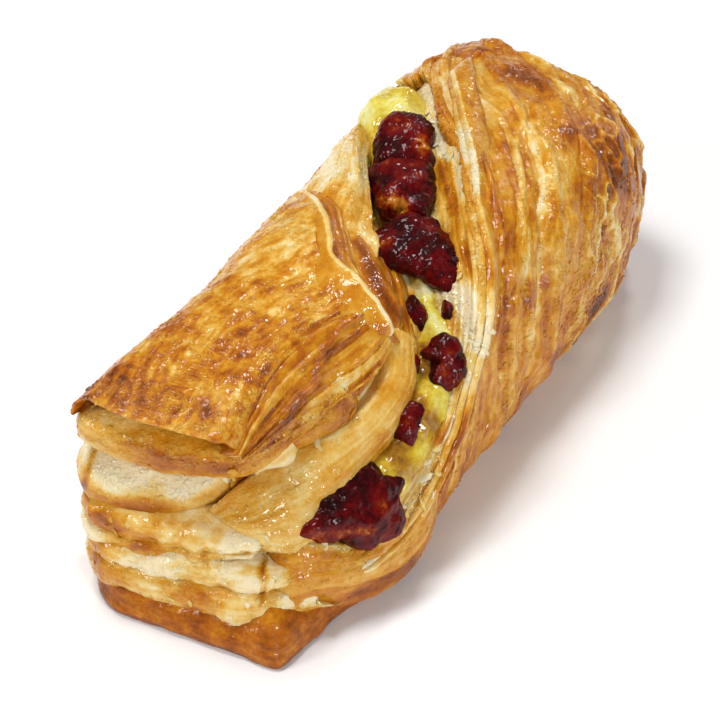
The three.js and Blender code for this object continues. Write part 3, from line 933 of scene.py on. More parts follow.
pages_leaf("third_leaf", RIM_THIRD, drop=2.0, thick=(1.8, 2.2, 2.6, 3.0, 3.2, 2.2), pages=1, seed=32,
           stand=0.25, swell=11.0, swell_over=4.5, round_off=0.0, bake=(0.0, 0.5, 0.4), grain=1.6,
           blotch=0.25, puff=0.15, corner=0.5, marks=(
               (((115, 465), (150, 480), (190, 486)), 20, -0.1),
               (((97, 442), (84, 487)), 6, 0.4),
               (((84, 487), (100, 497), (127, 503), (160, 506), (200, 499), (232, 482)), 8, 0.09),
               (((236, 484), (262, 460), (300, 432), (345, 400)), 13, 0.4),
           ))
# %% The fourth and fifth leaves
RIM_FOURTH = (
    (-44, 23.5, 17), (-52, 19.8, 17), (-57.4, 16.4, 17), (-59.2, 13.0, 17), (-58.0, 6.2, 16.8),
    (-55.4, -1.5, 16.8), (-53.2, -7.6, 17), (-50.8, -11.0, 17), (-47.2, -10.0, 16.4), (-42.5, -7.0, 15.4),
)
pages_leaf("fourth_leaf", RIM_FOURTH, thick=(5.6, 6.0, 6.0, 4.2, 2.6), pages=2, seed=43, stand=0.9,
           swell=4.0, round_off=1.6, bake=(0.16, 0.20, 0.36), grain=0.6, blotch=0.4, puff=0.8,
           marks=((((88, 515), (118, 528)), 14, 0.2), (((215, 540), (236, 512)), 12, 0.16),
                  (((250, 572), (262, 578)), 10, 0.5)))
RIM_FIFTH = (
    (-45, 24.5, 10), (-52, 20.2, 9.8), (-57.4, 16, 9.6), (-59.6, 12, 9.6), (-58.8, 4.6, 9.6),
    (-56.4, -4.7, 9.8), (-53.8, -11.8, 10), (-48.5, -15.6, 9), (-42, -18.8, 8.2), (-35, -21.4, 7.8),
    (-27, -22.6, 9), (-20.3, -22.4, 12.5), (-14.5, -21.6, 17), (-10, -20.6, 21),
)
# The mark along the vertical crack, which the ribs cut in, is painted shade in the crack.
pages_leaf("fifth_leaf", RIM_FIFTH, thick=(8.6, 8.6, 8.2, 5.5, 5.0), pages=2, seed=54, stand=1.1,
           swell=2.0, round_off=1.8, bake=(0.10, 0.25, 0.4), grain=0.6, blotch=0.45, slope=0.6, puff=0.7,
           marks=((((262, 552), (263, 600)), 7, 0.35), (((246, 568), (262, 572)), 12, 0.3)),
           ribs=((((262, 550), (263, 606)), 4, -0.7),))

# %% [markdown]
# ## The base
# The bottom leaf lay on the tray and baked hard, flat and evenly brown. It is one closed ring of
# sections round the whole outline, curling up a little at the rim, and a drier crust than the rest.

# %% The base
BASE_EDGE = (
    (-38, 25.5), (-45, 23), (-51.5, 18.6), (-56.5, 14.2), (-58.6, 9.7), (-58.2, 4), (-57, -4), (-55.8, -12),
    (-54.6, -17.8), (-48, -18.6), (-41.5, -18.9), (-33, -19.6), (-24, -19.4), (-15, -17.2),
    (-4, -14.7), (10, -13.6), (23.4, -13), (34, -11.6), (43, -9.5), (50, -5), (53.5, 0),
    (54.4, 8), (53, 15), (47, 19.5), (36, 21.5), (16, 22), (-2, 22.4), (-16, 24.4), (-30, 25.6),
)
base_count = 900
base_rings = 44
around = np.linspace(0, 1, base_count, endpoint=False)
outline = np.array(BASE_EDGE + (BASE_EDGE[0],), float)
edge = spline(np.c_[outline, np.zeros(len(outline))])(around)
middle_line = np.stack([np.clip(edge[:, 0], -36, 42), np.full(base_count, 2.0), np.zeros(base_count)], 1)
inwards = unit(middle_line - edge)
profile_in = through(
    (0, 0.12, 0.2, 0.3, 0.42, 0.6, 0.8, 1.0), (14.0, 2.0, 0.5, 0.0, 0.1, 1.4, 4.5, 9.0))
profile_up = through(
    (0, 0.12, 0.2, 0.3, 0.42, 0.6, 0.8, 1.0), (0.15, 0.12, 0.2, 0.9, 2.0, 4.6, 7.4, 9.5))
ring = np.linspace(0, 1, base_rings)
base_points = (edge[:, None] + inwards[:, None] * profile_in(ring)[None, :, None]
               + np.array((0, 0, 1.0)) * profile_up(ring)[None, :, None])
uneven = rough(base_points / np.array((5.0, 5.0, 2.5)), 4, 61)
base_points = base_points + inwards[:, None] * (0.5 * uneven)[..., None]
base_points[..., 2] = np.maximum(base_points[..., 2] * (1 + 0.12 * uneven), 0.12)
way_in = np.zeros((base_count, 1)) + ring[None, :]
base_mesh = with_caps("base_leaf", base_points.transpose(1, 0, 2), grid_quads(
    base_rings, base_count, loop_columns=True), {
    "bake": (0.64 + 0.18 * smoothstep(0.42, 0.22, way_in) - 0.12 * smoothstep(0.6, 0.9, way_in)).T,
    "across": (way_in * 14).T,
    "along": (around[:, None] * 320 + 0 * way_in).T,
    "grain": np.full((base_rings, base_count), 0.5),
    "blotch": np.full((base_rings, base_count), 0.45),
})
piece_of(base_mesh, "pastry", dry_crust)

# %% [markdown]
# ## Walls of leaves
# Between the flap and the valley, and along both sides of the valley, the strip's many thin leaves
# end one below another like steps on a slope. Each slope is one sheet stretched between two of
# the shared curves, and its steps lean towards the lower curve. The slope under the flap fans out
# from the corner where the flap's two edges meet.


# %% A slope of steps between two curves
def slope_grid(upper, lower, along_step, across_step):
    """Points between two curves, rows along them and columns from the upper to the lower."""
    length = np.linalg.norm(np.diff(upper(np.linspace(0, 1, 100)), axis=0), axis=1).sum()
    rows = int(length / along_step)
    s = np.linspace(0, 1, rows)
    a, b = upper(s), lower(s)
    widest = np.linalg.norm(b - a, axis=1).max()
    t = np.linspace(0, 1, int(widest / across_step))
    return s, t, lerp(a[:, None], b[:, None], t[None, :, None]), length, widest


def slope(name, upper, lower, borders, seed, *, bulge=1.0, height=(0.4, 1.0), lean=0.9, tone=0.1,
          bake=0.3, marks=(), outward=None, thick=2.0, along_step=0.45, across_step=0.22, grain=0.2,
          wander=0.5, groove_bake=0.12, crest_bake=0.05, blotch=0.5, ribs=()):
    s, t, points, length, widest = slope_grid(spline(upper), spline(lower), along_step, across_step)
    out = grid_normals(points)
    if (out @ np.asarray(outward, float)).sum() < 0:
        out = -out
    across = t[None, :] * widest + 0 * s[:, None]
    along = s[:, None] * length + 0 * t[None, :]
    rise, shade, ridge = pages_relief(
        across, along, borders, seed, height=height, lean=lean, tone=tone, wander=wander)
    edge = np.minimum(np.minimum(t, 1 - t)[None, :] * 8, np.minimum(s, 1 - s)[:, None] * 12)
    edge = np.clip(edge, 0, 1)
    rise = rise * (0.3 + 0.7 * edge) + bulge * np.sin(math.pi * t)[None, :]
    rise = rise + 0.3 * rough(points / 5.0, 3, seed + 4)
    rise = rise + painted(points, out, ribs, seed)
    moved = points + out * rise[..., None]
    moved = roughened(moved, seed, coarse=0.12)
    tones = bake + shade + crest_bake * ridge - groove_bake * (1 - ridge) + painted(moved, out, marks, seed)
    return crust_shell(name, moved, out, thick, seed, bake=tones, across=across + seed * 2.1,
                       along=along, grain=grain, blotch=blotch)


print("steps between two curves ready")

# %% [markdown]
# ## The front under the flap
# Below the flap's front edge the leaves fan out, brown where they stick out of the shade. The
# waist wall runs from there down to the big fruit, and the front fold closes the side below it.
# Each is a slope of its own, so that its leaves can run its own way.

# %% The fan of leaves
OUT_FRONT = (0.0, -0.8, 0.6)
FLAP_BEND = (
    (-52.4, -8.3, 36.4), (-46.8, -6, 38.2), (-41.8, -4.3, 39), (-36, -2.6, 39.4), (-30, -1.8, 39.6),
    (-24, -2.2, 39.6), (-19, -3.2, 39.3), (-15, -5, 38.8),
)
FAN_FOOT = (
    (-51.2, -9.2, 34.4), (-46.5, -10.2, 34.2), (-42.2, -10.7, 33.6), (-37, -11, 33.0),
    (-31, -11.4, 32.4), (-24, -12, 31.9), (-19, -12, 32.4), (-15.2, -11.2, 33.6),
)
slope("fan_of_leaves", np.add(FLAP_BEND, (0, 0.1, 0.5)), FAN_FOOT,
      page_borders(0.0, 13.0, (0.9, 1.9), 71), 71,
      outward=OUT_FRONT, bulge=0.9, height=(0.35, 0.9), bake=0.52, tone=0.1, wander=0.4, groove_bake=-0.06,
      marks=(
          (((364, 311), (338, 329), (318, 361), (314, 381)), 9, 0.2),
          (((273, 440), (298, 404)), 6, 0.25),
          (((385, 340), (350, 360), (325, 392)), 28, -0.2),
      ),
      ribs=(
          (((364, 311), (338, 329), (318, 361), (314, 381), (280, 425)), 6, 0.7),
      ))
# %% The waist wall
WAIST_TOP = (
    (-51.0, -3.0, 22.0), (-46.8, -5.6, 25.2), (-42, -8.2, 27.2), (-37, -10.8, 28.2), (-31, -12.8, 28.4),
    (-24, -13.2, 28.8), (-19, -12.6, 30), (-15, -10.6, 32.5), (-13, -9.2, 34.5),
)
WAIST_FOOT = (
    (-50.4, -9.8, 18.4), (-47.2, -14.0, 16.2), (-43.4, -15.9, 15.6), (-39, -16.4, 15.6), (-34, -16.4, 17.0),
    (-28, -16, 19.2), (-21, -15.7, 21.2), (-14, -14, 23.8), (-8, -10.5, 26.5),
)
slope("waist_wall", WAIST_TOP, WAIST_FOOT, page_borders(0.0, 18.0, (2.4, 5.0), 72), 72,
      outward=(0.3, -0.8, 0.5), bulge=2.0, height=(0.1, 0.5), bake=0.24, tone=0.04, groove_bake=0.03,
      thick=3.0, grain=0.7, blotch=0.25, marks=(
          (((298, 470), (330, 455), (360, 430)), 22, -0.08),
          (((245, 520), (285, 512)), 20, 0.06),
          (((385, 440), (372, 460)), 14, 0.16),
          (((390, 392), (425, 400)), 16, 0.16),
      ))
# %% The front fold
FRONT_FOLD_TOP = (
    (-45.4, -8.5, 15.2), (-46.3, -12.9, 16.3), (-43.5, -15.9, 16.2), (-40, -17.5, 14.4),
    (-36, -18.8, 12.4), (-32, -19.8, 11.0), (-27.5, -20.6, 10.6), (-23, -20.8, 12.5), (-16, -17.5, 14.5),
)
FRONT_FOLD_FOOT = (
    (-48.6, -12.4, 6.0), (-48.0, -15.8, 5.6), (-44.5, -17.8, 4.8), (-40, -19.9, 3.4),
    (-35.5, -21.4, 2.2), (-30, -22.2, 1.6), (-25, -22.4, 1.8), (-20, -21.6, 3.0), (-13, -18.6, 4.5),
)
# The mark down the vertical crack at its left end is painted shade in the crack.
slope("front_fold", FRONT_FOLD_TOP, FRONT_FOLD_FOOT, page_borders(0.0, 14.0, (3.0, 5.5), 73), 73,
      outward=(0.0, -1.0, 0.1), bulge=1.3, height=(0.1, 0.5), bake=0.42, tone=0.04, groove_bake=0.04,
      thick=3.0, grain=0.4, blotch=0.25, marks=(
          (((268, 541), (300, 545), (348, 549)), 7, -0.3),
          (((325, 612), (370, 590), (430, 556), (460, 520)), 12, 0.3),
          (((268, 562), (268, 600)), 8, 0.16),
      ))

# %% [markdown]
# ## The ridge and the valley's left side
# Where the flap ends, its edge rolls up into a ridge, and behind the ridge the leaves drop steeply
# to the filling. Two slopes make the drop: the upper one catches the light, and the lower one lies
# in the shadow beside the dark fruit.

# %% The wall that catches the light
RIDGE = (
    (2.2, 21.5, 34), (1.5, 17.7, 37.6), (-2.6, 11.4, 40.3), (-7.2, 7, 41), (-11.4, 3.2, 41),
    (-13.8, -1.7, 40.8), (-14.8, -5.6, 39.6), (-15.4, -9.4, 36.6), (-15, -11, 34),
)
INNER_WALL_FOOT = (
    (5, 19.5, 34.5), (4.5, 14, 36.5), (2.4, 10, 37.2), (-1, 6.6, 36.8), (-4.4, 2.6, 35.8),
    (-8, -1.6, 34.4), (-9.8, -4.6, 33.2), (-11, -7.6, 31), (-12.5, -10.2, 29.5),
)
slope("ridge_inner_wall", RIDGE, INNER_WALL_FOOT, page_borders(0.0, 9.0, (1.0, 2.2), 75), 75,
      outward=(0.8, -0.4, 0.4), bulge=1.1, height=(0.15, 0.5), bake=0.56, tone=0.05, lean=0.6,
      thick=1.2, marks=((((301, 204), (318, 218), (327, 262), (364, 303)), 8, -0.3),))
# %% The wall in the shadow
WALL_TOP = (
    (4.5, 14, 36.9), (2.4, 10, 37.6), (-1, 6.6, 37.2), (-4.4, 2.6, 36.2), (-8, -1.6, 34.6),
    (-9.8, -4.6, 33.4), (-11, -7.6, 31.2),
)
WALL_FOOT = (
    (10, 6.5, 30), (7.5, 4, 29.6), (5, 1.5, 29), (2.4, -1.8, 28.6), (0, -4.6, 28), (-3, -7, 27.4),
    (-6.5, -9.6, 26.6),
)
# The mark on this wall is painted shade: a darker tone where it lies in the shadow beside the dark fruit.
slope("shadow_wall", WALL_TOP, WALL_FOOT, page_borders(0.0, 12.0, (1.4, 2.8), 76), 76,
      outward=(0.7, -0.4, 0.4), bulge=0.4, height=(0.1, 0.5), bake=0.46, tone=0.05,
      marks=((((360, 245), (385, 285), (400, 320)), 24, 0.36),))

# %% [markdown]
# ## The shoulder
# Behind the ridge one broad leaf slopes from the flap down to the back end of the filling. It is
# laid on the envelope like the flap, between a line on the back and a line beside the filling,
# and sinks towards the filling.

# %% The shoulder
SHOULDER_ROWS = 104
SHOULDER_COLUMNS = 120


def shoulder_grid():
    """The sheet from the ridge to the filling's back end, laid on the envelope."""
    s = np.linspace(0, 1, SHOULDER_ROWS)
    foot_x = through((0, 0.2, 0.4, 0.6, 0.8, 1), (-7, -2.5, 1.5, 7, 15, 27))(s)
    foot_angle = through((0, 0.2, 0.4, 0.6, 0.8, 1), (93, 93, 90, 84, 68, 42))(s)
    back_x = lerp(-2.0, 38.0, s)
    back_angle = np.full(SHOULDER_ROWS, 2.0)
    t = np.linspace(0, 1, SHOULDER_COLUMNS)
    x = lerp(back_x[:, None], foot_x[:, None], t ** 1.3)
    angle = lerp(back_angle[:, None], foot_angle[:, None], t)
    return s, t, skin(x, angle)


shoulder_s, shoulder_t, shoulder_points = shoulder_grid()
shoulder_out = grid_normals(shoulder_points)
if shoulder_out[:, SHOULDER_COLUMNS // 2, 2].sum() < 0:
    shoulder_out = -shoulder_out
shoulder_across = shoulder_t[None, :] * 30 + 0 * shoulder_s[:, None]
shoulder_along = shoulder_s[:, None] * 36 + 0 * shoulder_t[None, :]
shoulder_rise, shoulder_shade, shoulder_ridge = pages_relief(
    shoulder_across, shoulder_along, page_borders(0, 31, (1.4, 3.4), 77), 77, height=(0.2, 0.8),
    lean=0.8, tone=0.08, wander=0.8)
sink = (2.6 * smoothstep(0.86, 1.0, shoulder_t)[None, :]
        + 2.4 * smoothstep(0.5, 0.8, shoulder_t)[None, :] * smoothstep(0.32, 0.12, shoulder_s)[:, None])
shoulder_rise = shoulder_rise + 0.4 * rough(shoulder_points / 6, 3, 78) - sink
shoulder_moved = roughened(shoulder_points + shoulder_out * shoulder_rise[..., None], 79)
shoulder_bake = (0.34 + shoulder_shade - 0.08 * shoulder_ridge
                 + painted(shoulder_moved, shoulder_out, (
                     (((285, 205), (318, 200), (345, 215)), 16, 0.12),
                     (((330, 170), (350, 150), (362, 180)), 22, -0.2),
                 ), 80))
crust_shell("shoulder", shoulder_moved, shoulder_out, 1.6, 79, bake=shoulder_bake,
            across=shoulder_across, along=shoulder_along, grain=0.2, blotch=0.4)

# %% [markdown]
# ## The valley's right side and the rolled edges
# The right side of the valley is torn, creamy dough with the cut leaves of the barrel above it.
# Three edges are rolled rather than cut: the lip over that wall, the ridge, and a corner of the
# strip at the back. They are leaves whose rims point sideways.

# %% The right wall
RIGHT_WALL_TOP = (
    (-30, -21.2, 10.4), (-25, -21.6, 13.0), (-20.3, -21.4, 16), (-10, -19.8, 23), (0.1, -16.3, 31),
    (7.8, -10.7, 35.8), (18.4, -2.2, 38.2), (30.4, 8.0, 38.0), (42, 18, 36), (46, 24.0, 31.5),
)
RIGHT_WALL_FOOT = (
    (-33, -18.4, 12.6), (-30, -17.6, 15.2), (-26.5, -17.5, 17), (-20, -17.5, 19.8),
    (-12, -15.5, 23), (-4.5, -12, 26), (2, -7, 28.3), (11, 1.5, 30), (21, 10.5, 31.2),
    (31, 18.5, 31.4), (39.5, 26.5, 27.5),
)
slope("valley_right_wall", RIGHT_WALL_TOP, RIGHT_WALL_FOOT, page_borders(0.0, 14.0, (1.0, 2.4), 74),
      74, outward=(-0.6, 0.3, 0.6), bulge=-0.3, height=(0.15, 0.6), bake=0.16, tone=0.06, marks=(
          (((440, 165), (450, 200), (460, 240), (470, 270)), 15, 0.42),
          (((428, 95), (438, 120), (442, 145)), 16, -0.2),
          (((452, 290), (466, 305), (478, 340), (478, 365)), 18, -0.4),
          (((470, 385), (462, 420), (440, 440)), 16, 0.36),
      ))


# %% Rolled edges
def lip(name, rim, inner_shift, **settings):
    """A rounded leaf edge along a curve, that comes from a place shifted from it."""
    rim = np.asarray(rim, float)
    mesh = leaf(name, spline(rim), spline(rim + np.asarray(inner_shift, float)), **settings)
    return piece_of(mesh, "pastry", crust)


lip("right_lip", RIGHT_LIP + (0, 0.2, 0.6), np.linspace((3, 5, -3), (7, 1.5, -2.5), len(RIGHT_LIP)),
    thick=(2.2, 2.6, 3.0, 3.0, 2.8), pages=3, seed=85, stand=0.4, swell=2.5, round_off=1.0,
    bake=(0.34, 0.22, 0.42), grain=0.6, depth=7.0, wobble=0.7, blotch=0.4, marks=(
        (((470, 300), (482, 345)), 16, -0.42),
        (((480, 395), (470, 440), (440, 500)), 16, 0.3),
    ))
lip("ridge", np.add(RIDGE, (1.0, -0.2, 1.1)), np.linspace((-5, -1, -2.4), (-5, 3, -2.4), len(RIDGE)),
    thick=(0.7, 0.9, 1.0, 1.5, 1.1), pages=1, seed=86, stand=0.5, swell=0.5, round_off=0.2,
    bake=(0.38, 0.30, 0.45), grain=0.3, depth=5.5, wobble=0.4, blotch=0.4, puff=0.3)

lip("back_corner", ((51, 24.0, 32.0), (54.5, 24.2, 31.8), (58, 22.6, 31.2), (60.0, 19, 30.2),
                    (60.8, 14, 29.2), (60.8, 9, 28)),
    np.linspace((-2, -6, 2), (-6, -1, 1), 6), thick=(1.2, 1.5, 1.5, 1.2), pages=1, seed=87, stand=0.5,
    swell=1.5, bake=(0.5, 0.7, 0.6), grain=0.8, depth=6.0, wobble=0.5, blotch=0.6, puff=0.4)

# %% [markdown]
# ## The barrel
# On the right half the strip has turned over, so the pages' cut edges face out. They climb from
# the table in front over the top and down the back like the thread of a screw. The grid's columns
# follow them: a column's place along the body moves on as it climbs, by the rule of the envelope.


# %% The screw of ribs
BANK = through(
    (-80, 20, 40, 62, 86, 103, 130, 153, 172, 181, 189, 197, 206, 214, 244),
    (40, 47, 46, 43, 29.6, 17.6, 8.6, 4, 1, -2.5, -9, -16, -21, -23, -23),
)
BROAD_PAGE = (16.0, 26.5)


def barrel_piece(name, first, last, lam_step, angle_step, seed, left_edge, marks=(), ribs=()):
    angle = np.arange(last, first, angle_step)[:, None]
    turned = swept(angle)
    start = float((left_edge(angle) - turned).min())
    stop = float((RIGHT_X + CAP_REACH - turned).max())
    lam = np.arange(start, stop, lam_step)[None, :]
    c = lam + turned
    points = skin(cap_place(c), angle)
    inside = (c >= left_edge(angle)) & (c <= RIGHT_X + CAP_REACH - 0.1)
    out = grid_normals(points)
    inside_at = np.stack(np.broadcast_arrays(np.minimum(points[..., 0], 50.0), 5.0, 17.0), -1)
    out = np.where(((points - inside_at) * out).sum(-1, keepdims=True) < 0, -out, out)
    along = (180 - angle) * 0.62 + 0 * lam
    across = lam + 0 * angle
    low = page_borders(start - 2, BROAD_PAGE[0], (1.1, 3.4), seed)
    high = page_borders(BROAD_PAGE[1], stop + 2, (1.4, 4.2), seed + 1)
    rise, shade, ridge = pages_relief(
        across, along, np.r_[low, high], seed, height=(0.1, 0.85), wander=0.8, tone=0.11)
    broad = smoothstep(BROAD_PAGE[0] - 1, BROAD_PAGE[0] + 1, across) * smoothstep(
        BROAD_PAGE[1] + 1, BROAD_PAGE[1] - 1, across)
    rise = lerp(rise, 0.8 + 0.35 * rough(points / 4.0, 3, seed + 3), broad)
    shade = lerp(shade, 0.1 * noise(points / 5.0, seed + 4), broad)
    ridge = lerp(ridge, 0.8, broad)
    at_end = smoothstep(RIGHT_X + 2, RIGHT_X + 10, c)
    rise = lerp(rise, 0.6 + 0.7 * rough(points / 3.2, 3, seed + 11), at_end)
    shade = lerp(shade, 0.16 * noise(points / 4.0, seed + 12), at_end)
    ridge = lerp(ridge, 0.7, at_end)
    rise = rise + 0.55 * rough(points / 7.0, 3, seed + 6)
    rise = rise + painted(points, out, ribs, seed)
    broken = smoothstep(24, 32, across) * smoothstep(40, 80, angle)
    crack = np.exp(-(noise(points / np.array((2.2, 3.4, 3.4)), seed + 9) / 0.13) ** 2)
    crack = crack * broken * (1 - at_end)
    rise = rise + 0.35 * crack
    moved = points + out * rise[..., None]
    moved = roughened(moved, seed, coarse=0.14)
    end = smoothstep(40, 58, c)
    low_down = smoothstep(14, 3, points[..., 2])
    bake = (0.50 + 0.8 * shade - 0.08 * ridge + 0.08 * (1 - ridge) + 0.13 * end + 0.1 * low_down
            + 0.1 * rough(points / 9.0, 2, seed + 8) + painted(moved, out, marks, seed)
            - 0.38 * crack)
    return crust_shell(name, moved, out, 2.2, seed, inside, bake=bake, across=across, along=along,
                       grain=0.3 + 0.7 * smoothstep(26, 34, across), blotch=0.5 - at_end)


# %% The barrel's own marks
BARREL_MARKS = (
    (((479, 150), (490, 185), (503, 230), (514, 262)), 12, 0.16),
    (((504, 264), (505, 310), (501, 370)), 6, 0.24),
    (((516, 141), (522, 200), (526, 270), (529, 351)), 6, -0.16),
    (((505, 120), (518, 180), (526, 235)), 24, 0.14),
    (((526, 284), (526, 353), (518, 405), (511, 427)), 12, 0.24),
    (((535, 125), (552, 150), (560, 190)), 22, -0.14),
    (((575, 130), (600, 150), (612, 185)), 34, 0.32),
    (((545, 215), (548, 270), (545, 330)), 9, 0.12),
    (((590, 190), (598, 240), (590, 300)), 26, 0.2),
    (((430, 75), (470, 85), (485, 110)), 22, -0.14),
    (((470, 345), (478, 395), (455, 460)), 14, -0.08),
    (((604, 298), (586, 336), (559, 362)), 16, 0.32),
    (((620, 120), (634, 190), (622, 270)), 18, 0.06),
    (((495, 80), (520, 70), (545, 90)), 14, 0.14),
)
BARREL_RIBS = (
    (((466, 110), (484, 170), (500, 240), (512, 300), (508, 390), (470, 470)), 7, 1.0),
    (((500, 90), (548, 160), (556, 250), (548, 330), (528, 400)), 9, 0.9),
    (((545, 90), (590, 160), (590, 250), (570, 320)), 10, 0.8),
    (((528, 110), (536, 180), (540, 260), (532, 350)), 6, -0.6),
    (((575, 100), (614, 170), (606, 250)), 8, -0.5),
    (((516, 141), (522, 200), (526, 270), (529, 351)), 6, 0.6),
    (((504, 240), (505, 310), (501, 380)), 5, -0.7),
    (((540, 200), (542, 270), (541, 340)), 5, -0.5),
)
# %% The barrel in two pieces
barrel_piece("barrel", 243.0, 50.0, 0.32, 0.9, 81, lambda angle: BANK(angle) - 0.4,
             marks=BARREL_MARKS, ribs=BARREL_RIBS)
barrel_piece("barrel_back", 51.5, -117.0, 0.45, 1.5, 82,
             lambda angle: np.interp(angle, (-80, 16, 24, 60), (0, 0, 42, 44)))

# %% [markdown]
# ## The tucked end
# The ribs run together at the right end, so the strip's end is folded over them, as a baker tucks
# it. Its grid is a square one drawn round, which has no middle point where rows meet.

# %% The strip's end, tucked over the right end
END_FOLD_REACH = 11.5
END_FOLD_SIDE = 110
end_u, end_v = np.meshgrid(*[np.linspace(-1, 1, END_FOLD_SIDE)] * 2, indexing="ij")
end_share = np.maximum(abs(end_u), abs(end_v))
end_angle = np.degrees(np.arctan2(end_v, end_u))
end_reach = END_FOLD_REACH + 1.6 * rough(
    np.stack([end_u, end_v, 0 * end_u], -1) / np.maximum(end_share, 0.05)[..., None] * 1.7, 3, 89)
end_points = skin(cap_place(RIGHT_X + CAP_REACH - end_share * end_reach), end_angle)
end_out = grid_normals(end_points)
if end_out[..., 0].sum() < 0:
    end_out = -end_out
end_rise = 1.2 + 0.6 * rough(end_points / 5.0, 3, 90) - 0.9 * smoothstep(0.8, 1.0, end_share)
end_moved = roughened(end_points + end_out * end_rise[..., None], 91)
crust_shell("end_fold", end_moved, end_out, 1.6, 93,
            bake=0.56 + 0.1 * rough(end_points / 6.0, 2, 92) + 0.12 * smoothstep(0.7, 1.0, end_share),
            across=end_points[..., 2], along=end_points[..., 1], grain=0.5, blotch=0.5)

# %% [markdown]
# ## The top flap
# The uppermost leaf took the heat of the oven first: golden and glossy, with orange-brown streaks
# along its length, blistered, and darkest at its tip. It is one sheet over the top of the left
# half and down the back, with its front bent over.

# %% The way round the section
FLAP_THICK = 1.5
LAST_ANGLE = -76.0


def way_round(x, first, last):
    """The way along the envelope's section at x, for each of many angles from first to last."""
    fine = np.linspace(first, last, 900)
    ring = skin(x, fine)
    way = np.r_[0.0, np.cumsum(np.linalg.norm(np.diff(ring, axis=0), axis=1))]
    return way, fine


# %% The flap's edges
front_bend = through(
    (-57, -52, -46.8, -41.8, -36, -31, -26, -20, -15), (143, 141, 126, 117, 110, 107, 109, 113, 121))
left_edge_x = through(
    (-10, -8, -6.6, 1.4, 8.1, 14.7, 16.5, 18), (-50.8, -52.4, -54.4, -56.5, -57.4, -57.2, -57.6, -56.5))
flap_rows = 224
flap_columns = 210
flap_share = np.linspace(0, 1, flap_rows)
flap_along = np.linspace(0, 1, flap_columns)
right_edge = through(
    (-76, 20, 33, 50.5, 62, 74, 83, 90.5, 102, 117.5, 147),
    (6, 2, 1.2, 1.5, 0.2, -3, -7.2, -11.4, -13.8, -14.8, -15.5))
# %% The flap's grid
flap_points = np.zeros((flap_rows, flap_columns, 3))
flap_way = np.zeros((flap_rows, flap_columns))
for column, share in enumerate(flap_along):
    x_guess = lerp(-55.0, -8.0, share)
    front_angle = float(front_bend(x_guess))
    way, fine = way_round(x_guess, front_angle, LAST_ANGLE)
    angle_at = np.interp(flap_share * way[-1], way, fine)
    y_at = skin(x_guess, angle_at)[:, 1]
    on_back = np.interp(angle_at, (-76, 5, 14, 20), (-46.0, -48.0, -53.0, -56.8))
    left = np.where(angle_at < 20, on_back, left_edge_x(y_at))
    x_at = lerp(left, right_edge(angle_at), share)
    flap_points[:, column] = skin(x_at, angle_at)
    flap_way[:, column] = flap_share * way[-1]
flap_out = grid_normals(flap_points)
if flap_out[flap_rows // 5, :, 2].sum() < 0:
    flap_out = -flap_out
# %% The flap's blisters and colours
flap_x, flap_y = flap_points[..., 0], flap_points[..., 1]
streak = np.stack([flap_x / 3.6, flap_way / 1.0, 0 * flap_x], -1)
lift = (0.35 * rough(flap_points / 9.0, 3, 91) + 0.08 * noise(streak, 92)
        + 0.25 * rough(flap_points / 3.2, 3, 93) + 0.5)
lift = lift * smoothstep(0.0, 3.5, flap_way) - 0.3 * smoothstep(2.0, 0.0, flap_way)
lift = lift + 0.9 * smoothstep(9, 0, right_edge(90) - flap_x) * smoothstep(20, 36, flap_points[..., 2])
flap_moved = roughened(flap_points + flap_out * lift[..., None], 94, coarse=0.1)
toasted = smoothstep(-0.5, 0.7, noise(flap_points / 8.5, 96)) + smoothstep(-42, -54, flap_x)
flecks = np.maximum(0, rough(streak, 3, 95))
flap_bake = (0.42 + toasted * (0.03 + 0.28 * flecks) + 0.05 * rough(flap_points / 5.0, 2, 98)
             + 0.08 * smoothstep(12, -12, flap_x + 45) * smoothstep(-6, 14, flap_y)
             - 0.08 * smoothstep(-16, -6, flap_x))
flap_bake = flap_bake + painted(flap_moved, flap_out, (
    (((110, 385), (170, 368), (240, 372)), 26, 0.08),
    (((205, 408), (232, 392)), 12, 0.06),
    (((130, 340), (190, 318)), 16, 0.12),
    (((250, 268), (300, 240)), 24, -0.16),
    (((90, 400), (150, 428), (230, 455)), 12, -0.1),
    (((92, 398), (120, 392), (150, 398)), 24, 0.1),
), 97)
flap_thick = lerp(0.4, FLAP_THICK, smoothstep(-56.5, -46, flap_x))
crust_shell("top_flap", flap_moved, flap_out, flap_thick, 97, bake=flap_bake, across=flap_way,
            along=flap_x, grain=0.35, blotch=0.9)

# %% [markdown]
# ## Custard
# The custard was piped along the strip before it was folded, so it is one strand that follows the
# valley, thick where it had room and thin where the dough squeezed it. A curve with a radius at
# each point says that, and Geometry Nodes sweep a round section along it and make it lumpy.


# %% Custard material
def glossy_food(name, stops, scale, roughness, subsurface, radius, coat):
    """A wet, slightly see-through filling with mottled colour, shifted by tint on the mesh."""
    material, net, shader = fresh_material(name)
    place = net.add("ShaderNodeTexCoord").outputs["Object"]
    fine = net.noise(place, scale * 6, 3.0, 0.6)
    mixed = net.math("MULTIPLY_ADD", fine, 0.35, net.noise(place, scale, 4.0, 0.6))
    shade = net.math("ADD", mixed, net.attribute("tint"))
    net.links.new(net.ramp(shade, stops), shader.inputs["Base Color"])
    uneven = net.ranged(fine, 0.3, 0.7, roughness * 0.6, roughness * 1.5)
    net.links.new(uneven, shader.inputs["Roughness"])
    net.links.new(net.bump(mixed, 0.0003, 0.8), shader.inputs["Normal"])
    net.links.new(net.bump(net.noise(place, 700.0, 1.0, 0.4), 0.0004), shader.inputs["Coat Normal"])
    set_values(shader, {
        "Specular IOR Level": 0.04, "Subsurface Weight": subsurface, "Subsurface Radius": radius,
        "Subsurface Scale": 0.002, "Coat Weight": coat, "Coat Roughness": 0.06,
    })
    return material


